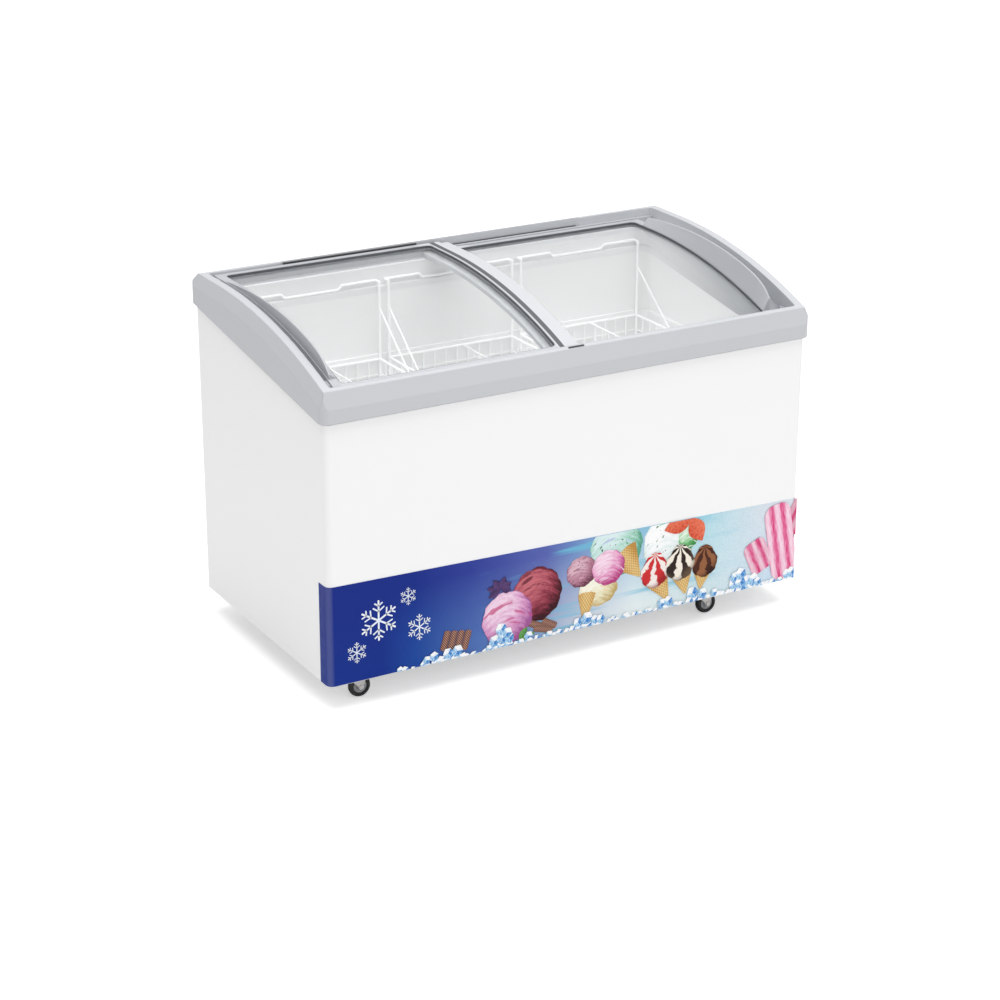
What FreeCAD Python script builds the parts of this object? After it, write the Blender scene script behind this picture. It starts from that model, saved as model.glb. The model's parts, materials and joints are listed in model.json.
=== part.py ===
import FreeCAD, Part
import math
import os

os.makedirs("parts", exist_ok=True)

Vec = FreeCAD.Vector
X_AXIS = Vec(1, 0, 0)
Y_AXIS = Vec(0, 1, 0)
Z_AXIS = Vec(0, 0, 1)

# Chest freezer with two curved glass lids that slide past each other. Millimetres.
# Frame: origin on the floor under the middle of the body, +X to the right seen from the front,
# +Y to the back, +Z up.

# Body
BODY_W = 1190
BODY_D = 625
BODY_R = 14                 # plan radius of the vertical corners
BASE_Z = 60                 # underside of the body above the floor
TOP_FRONT_Z = 652           # sloping top of the insulated body, hidden inside the top frame
TOP_REAR_Z = 747
SHEET = 1.0
HALF_W = BODY_W / 2
HALF_D = BODY_D / 2
SLOPE = math.atan2(TOP_REAR_Z - TOP_FRONT_Z, BODY_D)
TOP_MID_Z = (TOP_FRONT_Z + TOP_REAR_Z) / 2

# Top frame: a flat rear part that runs into an arc falling to the front
RIM_Z = 800
APEX_Y = 187.5              # where the flat part ends and the arc begins
FALL_R = 1373
FRAME_LIP = 8               # how far the frame stands proud of the body
FRAME_LEAN = 11             # how far the leaning upper face comes in
FRAME_FALL = 30             # height of the leaning face on the two sides
FRAME_FRONT_Z = 640         # lower edge of the frame at the front
FRAME_REAR_Z = 735
REAR_LEAN = 24
REAR_FALL = 25
POCKET_X = 573              # half width of the recess that holds the lids
POCKET_FRONT = -298.5
POCKET_REAR = 285.5
SLOT_X0 = -405              # long slot in the rear rim
SLOT_X1 = 378
SLOT_DEEP = 6
SLOT_SLANT = 14
SLOT_Z = 770
UPPER_BRUSH = (-391, -60, 789, 798)     # brush strips in the slot behind the lids: x0, x1, z0, z1
LOWER_BRUSH = (-40, 364, 772, 783)

# Storage opening
TANK_X = 535
TANK_FRONT = -262.5
TANK_REAR = 244.5
TANK_FLOOR = 122
TANK_R = 28
TANK_TOP_DROP = 28          # liner's top edge below the sloping body top
LINER = 2.0
LEDGE = 8.5                 # rear ledge that the baskets hang on
LEDGE_DROP = 14
FLANGE = 14                 # liner's outward flange, and the collar's neck above it
COLLAR_IN = 34              # how far the collar closes in at each end
COLLAR_DROP = 35.5          # its top below the rim's curve
LOAD_LINE_Z = 567
LOAD_STEP = 6
HUMP_X = 290                # the floor steps up over the machine compartment here
HUMP_Z = 350
OVER = 700                  # cutting shapes reach this far in X, past the body
BEHIND = 400                # and this far in Y

# Cold tube round the liner, and the drain
COIL_R = 4.0
COIL_TURNS = 7
COIL_PITCH = 28
COIL_FIRST_Z = 372
COIL_STEP_IN = 40
DRAIN_X = -470
DRAIN_Y = 180
DRAIN_R = 12.0
DRAIN_BORE = 9.0
SPIGOT_R = 11
SPIGOT_LONG = 24
PAN_T = 2

# Printed panel
PRINT_T = 0.8
PRINT_LEFT_H = 228
PRINT_RIGHT_H = 195
PRINT_WRAP = 24             # how far it runs along the left side past the round corner

# Lids. Heights are drops below the rim's curve.
RAIL = 13
GLASS_DROP = 6              # glass top below the rail top
GLASS_T = 4
UPPER_DROP = 5
LOWER_DROP = 20.5
LID_W = 580
LEFT_LID_X = -561
RIGHT_LID_X = -51
OUTER_RAIL = 20
INNER_RAIL = 30
INNER_FLANGE = 24
FRONT_RAIL = 10
REAR_RAIL = 14
MEETING_SEAL = (5, 16)      # rubber strip in the top of the inner rail, from the glass edge
UPPER_FRONT = -296
UPPER_REAR = 283
LOWER_FRONT = -288.5
LOWER_REAR = 275.5
GLASS_GRIP = 6
UPPER_STEP = 18.5           # drops of the two track steps that the lids run on, and of the tracks' foot
LOWER_STEP = 34
TRACK_FOOT = 42
SILL_X = -537               # sill under the left lid's outer rail ends here, clear of the right lid
FIN_CREST_T = 4             # thickness of the handle's crest
FIN_CREST = ((-267.5, 726), (-232.5, 755), (-187.5, 772), (-95.5, 792), (57.5, 804.5), (221.5, 796))

# Machine compartment at the right end
BAY_X0 = 350
BAY_X1 = 593
BAY_TOP = 296
FAN_X = 472
FAN_Y = -40
FAN_Z = 175
FAN_BLADES = 5
FAN_HUB_R = 18
FAN_TIP_R = 84
MOUTH_R = 90
NECK_R = 8
SHAFT_R = 3
COMPRESSOR_Y = 150
POT_R = 74
POT_Z0 = 92
POT_Z1 = 235
TRAY_Z = 66
FOOT_X = 68                 # rubber feet from the compressor's middle
FOOT_Y = 46
FOOT_Z = 88
FOOT_T = 3
OUTLET = (FAN_X - 40, COMPRESSOR_Y + 50, 200)
OUTLET_END = (FAN_X - 62, COMPRESSOR_Y + 78, 200)
CONDENSER = ((372, 572), (-170, -110), (90, 260))
FIN_T = 1.2
FIN_PITCH = 12
TUBE_R = 4
TUBE_ROWS = 5
TUBE_PITCH = 32
TUBE_Z = 110
DRIER_X = 372
DRIER_Y = (40, 110)
DRIER_Z = 250

# Grilles, controls and cord
GRILLE_Z = 180
GRILLE_H = 170
GRILLE_RIM = 10
GRILLE_PROUD = 2.5
SLAT_PITCH = 14
SIDE_GRILLE_Y = -136
SIDE_GRILLE_W = 200
REAR_GRILLE_X = 472.5
REAR_GRILLE_W = 175
KNOB_Y = -273
KNOB_Z = 150
KNOB_R = 14
KNOB_FLUTES = 16
SWITCH_Z = 215
ROCKER_W = 14.8
CONTROL_Z0 = 110
CONTROL_Z1 = 250
CORD_X = 364
CORD_Z = 110

# Casters
CASTER_X = (-515, 371)
CASTER_Y = (-262.5, 250)
TRAIL = 14
WHEEL_R = 25
WHEEL_T = 18
AXLE_R = 3
KING_R = 4
RUNNING = 0.05              # radial clearance of anything that turns
RACE_R = 17
PLATE_Z = 57.5
CROWN_TOP = 53
CROWN = 2
BOLT_AT = 23
BOLT_R = 3

# Baskets
BASKET_X = (-344, 0, 344)
BASKET_W = 320
BASKET_BACK = 233
BASKET_DEEP = 145
BASKET_RIM_Z = 557
BASKET_FLOOR_Z = 420
WIRE = 3.0                  # radius of the frame wires
THIN = 1.5                  # radius of the grid wires
BRACE = 2.0
BRACE_DROP = 60
HOOK_STEP = 9
HOOK_END = 85
GRID_X = 11
GRID_Y = 5


def save(shape, name):
    shape.exportStep("parts/" + name + ".step")


def box(x0, x1, y0, y1, z0, z1):
    return Part.makeBox(x1 - x0, y1 - y0, z1 - z0, Vec(x0, y0, z0))


def rod(start, end, radius):
    """Round bar between two points."""
    start = Vec(*start)
    along = Vec(*end) - start
    return Part.makeCylinder(radius, along.Length, start, along)


def wire_path(points, radius):
    """Round wire along straight stretches, with a ball at every bend."""
    bars = [rod(a, b, radius) for a, b in zip(points, points[1:])]
    balls = [Part.makeSphere(radius, Vec(*p)) for p in points[1:-1]]
    return bars + balls


def fused(shapes):
    whole = shapes[0].multiFuse(shapes[1:]) if len(shapes) > 1 else shapes[0]
    return whole.removeSplitter()


def cut_all(shape, tools):
    for tool in tools:
        shape = shape.cut(tool)
    return shape


def rounded_face(x0, x1, y0, y1, radius):
    """Rectangle in the XY plane with round corners."""
    rim = box(x0, x1, y0, y1, 0, 1)
    upright = [e for e in rim.Edges if abs(e.tangentAt(e.FirstParameter).z) > 0.9]
    solid = rim.makeFillet(radius, upright)
    return min(solid.Faces, key=lambda f: f.CenterOfMass.z)


def rounded_prism(x0, x1, y0, y1, z0, z1, radius):
    face = rounded_face(x0, x1, y0, y1, radius)
    face.translate(Vec(0, 0, z0))
    return face.extrude(Vec(0, 0, z1 - z0))


def side_prism(points, x0, x1):
    """Solid with the outline (y, z) in side view, from x0 to x1."""
    loop = [Vec(x0, y, z) for y, z in points]
    return Part.Face(Part.makePolygon(loop + loop[:1])).extrude(Vec(x1 - x0, 0, 0))


def curve_z(y, drop=0.0):
    """Height of the rim's curve at y, or of a parallel curve below it."""
    if y >= APEX_Y:
        return RIM_Z - drop
    radius = FALL_R - drop
    return RIM_Z - FALL_R + math.sqrt(radius ** 2 - (y - APEX_Y) ** 2)


def curve_edges(x, y0, y1, drop):
    """The curve from front y0 to rear y1 as an arc and, behind the apex, a line."""
    end = min(y1, APEX_Y)
    edges = []
    if y0 < APEX_Y:
        points = [Vec(x, y, curve_z(y, drop)) for y in (y0, (y0 + end) / 2, end)]
        edges.append(Part.Arc(*points).toShape())
    if y1 > APEX_Y:
        start = max(y0, APEX_Y)
        edges.append(Part.makeLine(Vec(x, start, RIM_Z - drop), Vec(x, y1, RIM_Z - drop)))
    return edges


def band(x0, x1, y0, y1, top, bottom):
    """Curved slab between two drops below the rim's curve."""
    upper = curve_edges(x0, y0, y1, top)
    lower = curve_edges(x0, y0, y1, bottom)
    ends = [Part.makeLine(Vec(x0, y, curve_z(y, top)), Vec(x0, y, curve_z(y, bottom))) for y in (y0, y1)]
    loop = Part.Wire(Part.__sortEdges__(upper + lower + ends))
    return Part.Face(loop).extrude(Vec(x1 - x0, 0, 0))


def top_plane_z(y):
    """Height of the sloping top of the insulated body."""
    return TOP_MID_Z + y * math.tan(SLOPE)


def below_top(drop):
    """Everything below a plane parallel to the sloping body top."""
    corners = [(-BEHIND, 0), (BEHIND, 0), (BEHIND, top_plane_z(BEHIND) - drop),
               (-BEHIND, top_plane_z(-BEHIND) - drop)]
    return side_prism(corners, -OVER, OVER)


def body_block(inset=0.0, bottom=BASE_Z):
    """The body's outside, moved in by an inset."""
    block = rounded_prism(-HALF_W + inset, HALF_W - inset, -HALF_D + inset, HALF_D - inset,
                          bottom, RIM_Z, BODY_R - inset)
    return block.common(below_top(0))


def slab(z0, z1, y0=-BEHIND, y1=BEHIND, x0=-OVER):
    """A cutting block right across the body."""
    return box(x0, OVER, y0, y1, z0, z1)


# ---- body ----

def side_opening():
    return box(HALF_W - 30, HALF_W + 30, SIDE_GRILLE_Y - SIDE_GRILLE_W / 2, SIDE_GRILLE_Y + SIDE_GRILLE_W / 2,
               GRILLE_Z - GRILLE_H / 2, GRILLE_Z + GRILLE_H / 2)


def rear_opening():
    return box(REAR_GRILLE_X - REAR_GRILLE_W / 2, REAR_GRILLE_X + REAR_GRILLE_W / 2, HALF_D - 30, HALF_D + 30,
               GRILLE_Z - GRILLE_H / 2, GRILLE_Z + GRILLE_H / 2)


def control_opening():
    return box(HALF_W - 30, HALF_W + 30, KNOB_Y - 17, KNOB_Y + 17, CONTROL_Z0, CONTROL_Z1)


def outer_shell():
    """Front and two sides, bent from one sheet; open at the bottom, the top and the back."""
    skin = body_block().cut(body_block(SHEET, BASE_Z - 1))
    skin = skin.common(slab(0, 900, y1=HALF_D - BODY_R))
    return cut_all(skin, [side_opening(), control_opening()])


def rear_panel():
    skin = body_block().cut(body_block(SHEET, BASE_Z - 1))
    skin = skin.common(slab(0, 900, y0=HALF_D - BODY_R))
    cord_hole = rod((CORD_X, HALF_D - 10, CORD_Z), (CORD_X, HALF_D + 10, CORD_Z), 6)
    return cut_all(skin, [rear_opening(), cord_hole])


def base_pan():
    pan = body_block(SHEET).common(slab(BASE_Z, BASE_Z + PAN_T))
    drain = rod((DRAIN_X, DRAIN_Y, 50), (DRAIN_X, DRAIN_Y, 70), 12)
    return pan.cut(drain)


def tank(grow=0.0):
    """The storage space, or its outside at a wall thickness."""
    floor = TANK_FLOOR - grow
    lower = rounded_prism(-TANK_X + LOAD_STEP - grow, TANK_X - LOAD_STEP + grow,
                          TANK_FRONT + LOAD_STEP - grow, TANK_REAR - LOAD_STEP + grow,
                          floor, LOAD_LINE_Z, TANK_R - LOAD_STEP + grow)
    hump = slab(0, HUMP_Z - grow, x0=HUMP_X + grow)
    upper = rounded_prism(-TANK_X - grow, TANK_X + grow, TANK_FRONT - grow, TANK_REAR + grow,
                          LOAD_LINE_Z - grow, RIM_Z, TANK_R + grow)
    return lower.cut(hump).fuse(upper).removeSplitter().common(below_top(TANK_TOP_DROP))


def flange_block():
    """Prism as wide as the liner's flange."""
    return rounded_prism(-TANK_X - FLANGE, TANK_X + FLANGE, TANK_FRONT - FLANGE, TANK_REAR + FLANGE,
                         300, RIM_Z, TANK_R + FLANGE)


def inner_liner():
    """White inner tank with a narrow outward flange at its top edge."""
    flange = flange_block().common(below_top(TANK_TOP_DROP)).cut(below_top(TANK_TOP_DROP + LINER))
    drain = rod((DRAIN_X, DRAIN_Y, TANK_FLOOR - 10), (DRAIN_X, DRAIN_Y, TANK_FLOOR + 10), DRAIN_R)
    return tank(LINER).fuse(flange).removeSplitter().cut(tank()).cut(drain)


def evaporator_coil():
    """One copper tube wound round the liner, one turn above the other."""
    gap = LINER + COIL_R - LOAD_STEP + 0.5
    x = TANK_X + gap
    front = TANK_FRONT - gap
    rear = TANK_REAR + gap
    points = []
    for turn in range(COIL_TURNS):
        z = COIL_FIRST_Z + turn * COIL_PITCH
        points += [(-x, front, z), (-x, rear, z), (x, rear, z), (x, front, z), (-x + COIL_STEP_IN, front, z)]
        points += [(-x + COIL_STEP_IN, front, z + COIL_PITCH)]
    return fused(wire_path(points[:-1], COIL_R))


def collar_neck():
    """Space round the liner's top edge that the collar fills, down to the liner's flange."""
    return flange_block().common(below_top(0)).cut(below_top(TANK_TOP_DROP))


def insulation_foam(coil):
    """Foam between the shell and the liner, with the machine compartment left open."""
    block = body_block(SHEET).cut(slab(0, BASE_Z + PAN_T))
    bay = slab(0, BAY_TOP, x0=BAY_X0)
    flange = flange_block().cut(below_top(TANK_TOP_DROP + LINER))
    drain = rod((DRAIN_X, DRAIN_Y, 50), (DRAIN_X, DRAIN_Y, TANK_FLOOR + 10), DRAIN_R)
    return cut_all(block, [bay, tank(LINER), flange, coil, drain])


def graphic_panel():
    """Thin printed sheet on the lower front, from the right corner to a little way along the left side."""
    sheet = rounded_prism(-HALF_W - PRINT_T, HALF_W + PRINT_T, -HALF_D - PRINT_T, HALF_D + PRINT_T,
                          BASE_Z + 1, 400, BODY_R + PRINT_T)
    sheet = sheet.cut(rounded_prism(-HALF_W, HALF_W, -HALF_D, HALF_D, BASE_Z, 500, BODY_R))
    loop = [Vec(-OVER, -BEHIND, 0), Vec(OVER, -BEHIND, 0), Vec(OVER, -BEHIND, BASE_Z + PRINT_RIGHT_H),
            Vec(-OVER, -BEHIND, BASE_Z + PRINT_LEFT_H)]
    right_end = BODY_R - HALF_D
    front = Part.Face(Part.makePolygon(loop + loop[:1])).extrude(Vec(0, right_end + PRINT_WRAP + BEHIND, 0))
    return sheet.common(front).cut(box(0, OVER, right_end, BEHIND, 0, 500))


# ---- top frame, collar and tracks ----

def frame_outside():
    """Frame outline: leaning faces on all four sides over upright ones."""
    front = -HALF_D - FRAME_LIP
    rear = HALF_D + FRAME_LIP
    crease_z = curve_z(front, FRAME_FALL)
    top_front = front + FRAME_LEAN
    top_rear = rear - REAR_LEAN
    corners = [(top_front, curve_z(top_front)), (front, crease_z), (front, FRAME_FRONT_Z),
               (rear, FRAME_REAR_Z), (rear, RIM_Z - REAR_FALL), (top_rear, RIM_Z)]
    points = [Vec(-OVER, y, z) for y, z in corners]
    edges = [Part.makeLine(a, b) for a, b in zip(points, points[1:])]
    edges += curve_edges(-OVER, top_front, top_rear, 0)
    side_view = Part.Face(Part.Wire(Part.__sortEdges__(edges))).extrude(Vec(2 * OVER, 0, 0))
    plan = rounded_prism(-HALF_W - FRAME_LIP, HALF_W + FRAME_LIP, front, rear, 500, 900, BODY_R + 6)
    return side_view.common(plan).common(side_taper())


def side_taper():
    """Cross-section with leaning upper sides, carried along the arc and the flat part."""
    wide = HALF_W + FRAME_LIP
    deep = 250
    points = [Vec(-wide, APEX_Y, RIM_Z - deep), Vec(-wide, APEX_Y, RIM_Z - FRAME_FALL),
              Vec(-wide + FRAME_LEAN, APEX_Y, RIM_Z), Vec(wide - FRAME_LEAN, APEX_Y, RIM_Z),
              Vec(wide, APEX_Y, RIM_Z - FRAME_FALL), Vec(wide, APEX_Y, RIM_Z - deep)]
    section = Part.Face(Part.makePolygon(points + points[:1]))
    centre = Vec(0, APEX_Y, RIM_Z - FALL_R)
    arc_part = section.revolve(centre, X_AXIS, 26)
    flat_part = section.extrude(Vec(0, 160, 0))
    return arc_part.fuse(flat_part).removeSplitter()


def rear_slot():
    """Long slot with slanted ends in the inner edge of the rear rim."""
    y0 = POCKET_REAR - 1
    y1 = POCKET_REAR + SLOT_DEEP
    points = [Vec(SLOT_X0, y0, SLOT_Z), Vec(SLOT_X1, y0, SLOT_Z), Vec(SLOT_X1 - SLOT_SLANT, y1, SLOT_Z),
              Vec(SLOT_X0 + SLOT_SLANT, y1, SLOT_Z)]
    return Part.Face(Part.makePolygon(points + points[:1])).extrude(Vec(0, 0, 60))


def top_frame():
    ring = frame_outside()
    return cut_all(ring, [lid_pocket(), body_block(), rear_slot()])


def tapered_hollow(foot, top, height, radius):
    """Hollow between two rectangles (x0, x1, y0, y1) on planes parallel to the sloping body top, the
    upper one this far above the lower one, with its four long edges rounded."""
    wires = []
    for (x0, x1, y0, y1), above in ((foot, -LEDGE_DROP), (top, height - LEDGE_DROP)):
        corners = [Vec(x, y, top_plane_z(y) + above) for x, y in ((x0, y0), (x1, y0), (x1, y1), (x0, y1))]
        wires.append(Part.makePolygon(corners + corners[:1]))
    solid = Part.makeLoft(wires, True, True)
    long_edges = [e for e in solid.Edges if abs(e.Vertexes[0].Point.z - e.Vertexes[-1].Point.z) > height * 0.8
                  and abs(e.Vertexes[0].Point.y - e.Vertexes[-1].Point.y) < height * 0.8]
    return solid.makeFillet(radius, long_edges)


def collar_opening():
    """The two stretches of the collar's hollow: an upright foot, then one closing in at the two ends."""
    foot = rounded_prism(-TANK_X, TANK_X, TANK_FRONT, TANK_REAR, 300, 900, TANK_R)
    foot = foot.common(below_top(LEDGE_DROP))
    wide = (-TANK_X, TANK_X, TANK_FRONT, TANK_REAR + LEDGE)
    narrow = (-TANK_X + COLLAR_IN, TANK_X - COLLAR_IN, TANK_FRONT + 14, TANK_REAR + LEDGE + 4)
    return foot, tapered_hollow(wide, narrow, 110, TANK_R)


def lid_pocket(bottom=500):
    """The recess in the frame that holds the tracks and the lids."""
    return rounded_prism(-POCKET_X, POCKET_X, POCKET_FRONT, POCKET_REAR, bottom, 900, 6)


def tracks():
    """Stepped strips that carry the lids: an upper step at the outside and a lower one inside it."""
    def strip(y0, y1, drop):
        return band(-POCKET_X, POCKET_X, y0, y1, drop, TRACK_FOOT)

    front = fused([strip(POCKET_FRONT, UPPER_FRONT + 5.5, UPPER_STEP),
                   strip(UPPER_FRONT + 4, -272, LOWER_STEP)])
    rear = fused([strip(UPPER_REAR - 6, POCKET_REAR, UPPER_STEP),
                  strip(262, UPPER_REAR - 5, LOWER_STEP)])
    return front.common(lid_pocket()), rear.common(lid_pocket())


def frame_collar(tools):
    """Moulded trim between the lid recess and the liner, with a sill under the left lid's outer end."""
    upper = lid_pocket().cut(below_top(0)).common(band(-OVER, OVER, -BEHIND, BEHIND, COLLAR_DROP, 300))
    sill = lid_pocket().common(band(-OVER, SILL_X, -BEHIND, BEHIND, UPPER_STEP, COLLAR_DROP + 1))
    whole = fused([upper, sill, collar_neck()])
    return cut_all(whole, list(collar_opening()) + tools)


def rear_brush_seal():
    """Two pile strips in the rear slot, each at the height of the lid in front of it."""
    return Part.makeCompound([box(x0, x1, POCKET_REAR + 0.5, POCKET_REAR + SLOT_DEEP - 0.5, z0, z1)
                              for x0, x1, z0, z1 in (UPPER_BRUSH, LOWER_BRUSH)])


def front_stop():
    """Short rubber pad set on the front rim beside the meeting rails."""
    return band(-18, 20, POCKET_FRONT - 9, POCKET_FRONT - 5.5, -1.6, 0)


def end_stops():
    """Four rubber bumpers that the lids' outer rails meet at the ends of the tracks."""
    stops = []
    for x0, x1, drop, fronts in ((-POCKET_X, LEFT_LID_X - 0.2, 8, (-284, 250)),
                                 (RIGHT_LID_X + LID_W + 30.2, POCKET_X, 24, (-276, 240))):
        for y in fronts:
            stops.append(band(x0, x1, y, y + 20, drop, drop + 8))
    return Part.makeCompound(stops)


# ---- lids ----

def fin_wire(x, drop, scale):
    """Crescent outline of the handle at x, its height over the rail of the lid at this drop scaled."""
    crest = [(y, curve_z(y, drop) + (z - curve_z(y, drop)) * scale) for y, z in FIN_CREST]
    top = [Vec(x, y, z) for y, z in crest]
    curve = Part.BSplineCurve()
    curve.interpolate(top)
    y0 = crest[0][0]
    y1 = crest[-1][0]
    foot = drop + GLASS_DROP
    edges = curve_edges(x, y0, y1, foot) + [curve.toShape()]
    edges.append(Part.makeLine(Vec(x, y0, curve_z(y0, foot)), top[0]))
    edges.append(Part.makeLine(top[-1], Vec(x, y1, RIM_Z - foot)))
    return Part.Wire(Part.__sortEdges__(edges))


def handle_fin(x_in, x_out, drop):
    """Crescent handle: low at the glass side, full height at the outer edge, with a flat crest."""
    crest = x_out + (FIN_CREST_T if x_in > x_out else -FIN_CREST_T)
    slope = Part.makeLoft([fin_wire(x_in, drop, 0.02), fin_wire(crest, drop, 1.0)], True, True)
    wall = Part.makeLoft([fin_wire(crest, drop, 1.0), fin_wire(x_out, drop, 1.0)], True, True)
    return slope.fuse(wall).removeSplitter()


def lid_parts(name, x0, front, rear, drop, outer_left):
    """The six pieces of one lid. outer_left says which end carries the handle."""
    x1 = x0 + LID_W
    glass_x0 = x0 + (OUTER_RAIL if outer_left else INNER_RAIL + INNER_FLANGE)
    glass_x1 = x1 - (INNER_RAIL + INNER_FLANGE if outer_left else OUTER_RAIL)
    glass_y0 = front + FRONT_RAIL
    glass_y1 = rear - REAR_RAIL
    bottom = drop + RAIL
    glass = band(glass_x0 - GLASS_GRIP, glass_x1 + GLASS_GRIP, glass_y0 - GLASS_GRIP, glass_y1 + GLASS_GRIP,
                 drop + GLASS_DROP, drop + GLASS_DROP + GLASS_T)
    frame = band(x0, x1, front, rear, drop, bottom)
    window = rounded_prism(glass_x0, glass_x1, glass_y0, glass_y1, 500, 900, 12)
    inner = rounded_prism(glass_x0 + 2, glass_x1 - 2, glass_y0 + 2, glass_y1 - 2, 500, 900, 10)
    ring = band(x0, x1, front, rear, drop + 1, drop + GLASS_DROP).common(window).cut(inner)
    near, far = MEETING_SEAL
    seal_x0, seal_x1 = (glass_x1 + near, glass_x1 + far) if outer_left else (glass_x0 - far, glass_x0 - near)
    seal = band(seal_x0, seal_x1, front + 2, rear - 2, drop - 0.5, drop + 3)
    flange_x0, flange_x1 = (glass_x1 + INNER_RAIL, x1) if outer_left else (x0, glass_x0 - INNER_RAIL)
    rebate = band(flange_x0, flange_x1, front - 1, rear + 1, drop - 1, drop + 4)
    frame = cut_all(frame, [window, glass, rebate, seal])
    left = frame.common(box(x0 - 1, glass_x0, -400, 400, 500, 900))
    right = frame.common(box(glass_x1, x1 + 1, -400, 400, 500, 900))
    front_rail = frame.common(box(glass_x0, glass_x1, -400, 0, 500, 900))
    rear_rail = frame.common(box(glass_x0, glass_x1, 0, 400, 500, 900))
    outer, inner_rail = (left, right) if outer_left else (right, left)
    x_in, x_out = (glass_x0, x0 + 2) if outer_left else (glass_x1, x1 - 2)
    outer = outer.fuse(handle_fin(x_in, x_out, drop)).removeSplitter().cut(glass)
    parts = {"glass": glass, "gasket": Part.makeCompound([ring, seal]), "front_rail": front_rail,
             "rear_rail": rear_rail, "outer_rail": outer, "inner_rail": inner_rail}
    return {name + "_" + key: shape for key, shape in parts.items()}


# ---- baskets ----

def hook_points(left, right):
    """Hook wire along the rear ledge: raised at both ends, resting on the ledge between them."""
    y = TANK_REAR + LEDGE / 2
    rest = top_plane_z(TANK_REAR + LEDGE) - LEDGE_DROP + WIRE + 0.3
    raised = rest + HOOK_STEP
    inner = HOOK_END + HOOK_STEP
    places = [(left, BASKET_BACK, raised), (left, y, raised), (left + HOOK_END, y, raised),
              (left + inner, y, rest)]
    return places + [(left + right - x, wy, z) for x, wy, z in reversed(places)]


def u_wires(count, point):
    """Evenly spaced U-shaped grid wires; point(share) gives the four corners of one."""
    wires = []
    for i in range(1, count):
        wires += wire_path(point(i / count), THIN)
    return wires


def basket(x):
    """Wire basket with two uprights, a stepped hook wire, braces, rim, grid and divider."""
    left = x - BASKET_W / 2
    right = x + BASKET_W / 2
    back = BASKET_BACK
    front = back - BASKET_DEEP
    rim = BASKET_RIM_Z
    floor = BASKET_FLOOR_Z
    belt = rim - 37
    weld = 2 * THIN - 0.8
    hook = hook_points(left, right)
    wires = wire_path([(left, back, floor)] + hook + [(right, back, floor)], WIRE)
    wires += wire_path([(left, back, rim), (left, front, rim), (right, front, rim), (right, back, rim)], WIRE)
    wires.append(rod((left, back, rim), (right, back, rim), WIRE))
    for side in (left, right):
        wires.append(rod((side, back, hook[0][2] - BRACE_DROP), (side, front, rim), BRACE))
    low = floor - weld

    def lengthwise(share):
        wx = left + share * BASKET_W
        return [(wx, back, rim), (wx, back, floor), (wx, front, floor), (wx, front, rim)]

    def crosswise(share):
        wy = front + share * BASKET_DEEP
        return [(left, wy, rim), (left, wy, low), (right, wy, low), (right, wy, rim)]

    wires += u_wires(GRID_X, lengthwise)
    wires += u_wires(GRID_Y, crosswise)
    ring = [(left - weld, back + weld, belt), (right + weld, back + weld, belt),
            (right + weld, front - weld, belt), (left - weld, front - weld, belt)]
    wires += wire_path(ring + ring[:1], THIN)
    wires.append(Part.makeSphere(THIN, Vec(*ring[0])))
    middle = left + BASKET_W * (GRID_X // 2 + 1.5) / GRID_X
    wires += wire_path([(middle, back, rim), (middle, front, rim)], THIN)
    for j in range(1, GRID_Y):
        wy = front + j * BASKET_DEEP / GRID_Y + weld
        wires.append(rod((middle, wy, low), (middle, wy, rim), THIN))
    return fused(wires)


# ---- machine compartment ----

def compressor():
    """Welded pot with a seam ring, on a foot plate that sits on rubber feet."""
    pot = Part.makeCylinder(POT_R, POT_Z1 - POT_Z0, Vec(FAN_X, COMPRESSOR_Y, POT_Z0))
    rims = [e for e in pot.Edges if e.Closed and len(e.Vertexes) == 1 and e.Length > 4 * POT_R]
    pot = pot.makeFillet(POT_R * 0.35, rims)
    seam = Part.makeCylinder(POT_R + 3, 5, Vec(FAN_X, COMPRESSOR_Y, (POT_Z0 + POT_Z1) / 2))
    feet = box(FAN_X - FOOT_X - 10, FAN_X + FOOT_X + 10,
               COMPRESSOR_Y - FOOT_Y - 10, COMPRESSOR_Y + FOOT_Y + 10, FOOT_Z, FOOT_Z + FOOT_T)
    bracket = box(FAN_X - 30, FAN_X + 30, COMPRESSOR_Y - 30, COMPRESSOR_Y + 30, FOOT_Z + 2, POT_Z0 + 4)
    body = fused([pot, seam, feet, bracket, rod(OUTLET, OUTLET_END, 5)])
    return cut_all(body, [rod((x, y, FOOT_Z - 8), (x, y, FOOT_Z + 7), 7) for x, y in grommet_places()])


def grommet_places():
    return [(FAN_X + sx * FOOT_X, COMPRESSOR_Y + sy * FOOT_Y) for sx in (-1, 1) for sy in (-1, 1)]


def compressor_grommets():
    """Waisted rubber feet between the plate and the compressor."""
    feet = []
    waist_top = FOOT_Z + FOOT_T
    for x, y in grommet_places():
        feet.append(fused([rod((x, y, TRAY_Z), (x, y, FOOT_Z), 11),
                           rod((x, y, FOOT_Z), (x, y, waist_top), 6.5),
                           rod((x, y, waist_top), (x, y, waist_top + 4), 10)]))
    return Part.makeCompound(feet)


def compressor_plate():
    """Ribbed steel tray on the base pan."""
    plate = box(BAY_X0 + 20, BAY_X1 - 8, COMPRESSOR_Y - 90, COMPRESSOR_Y + 100, BASE_Z + PAN_T, TRAY_Z)
    ribs = [box(BAY_X0 + 26, BAY_X1 - 14, y - 3, y + 3, TRAY_Z - 1, TRAY_Z + 3)
            for y in (COMPRESSOR_Y - 78, COMPRESSOR_Y, COMPRESSOR_Y + 88)]
    return fused([plate] + ribs)


def relay_cover():
    side = FAN_X - POT_R
    cover = box(side - 36, side - 4, COMPRESSOR_Y - 25, COMPRESSOR_Y + 25, 120, 180)
    return cover.makeFillet(5, cover.Edges)


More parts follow.
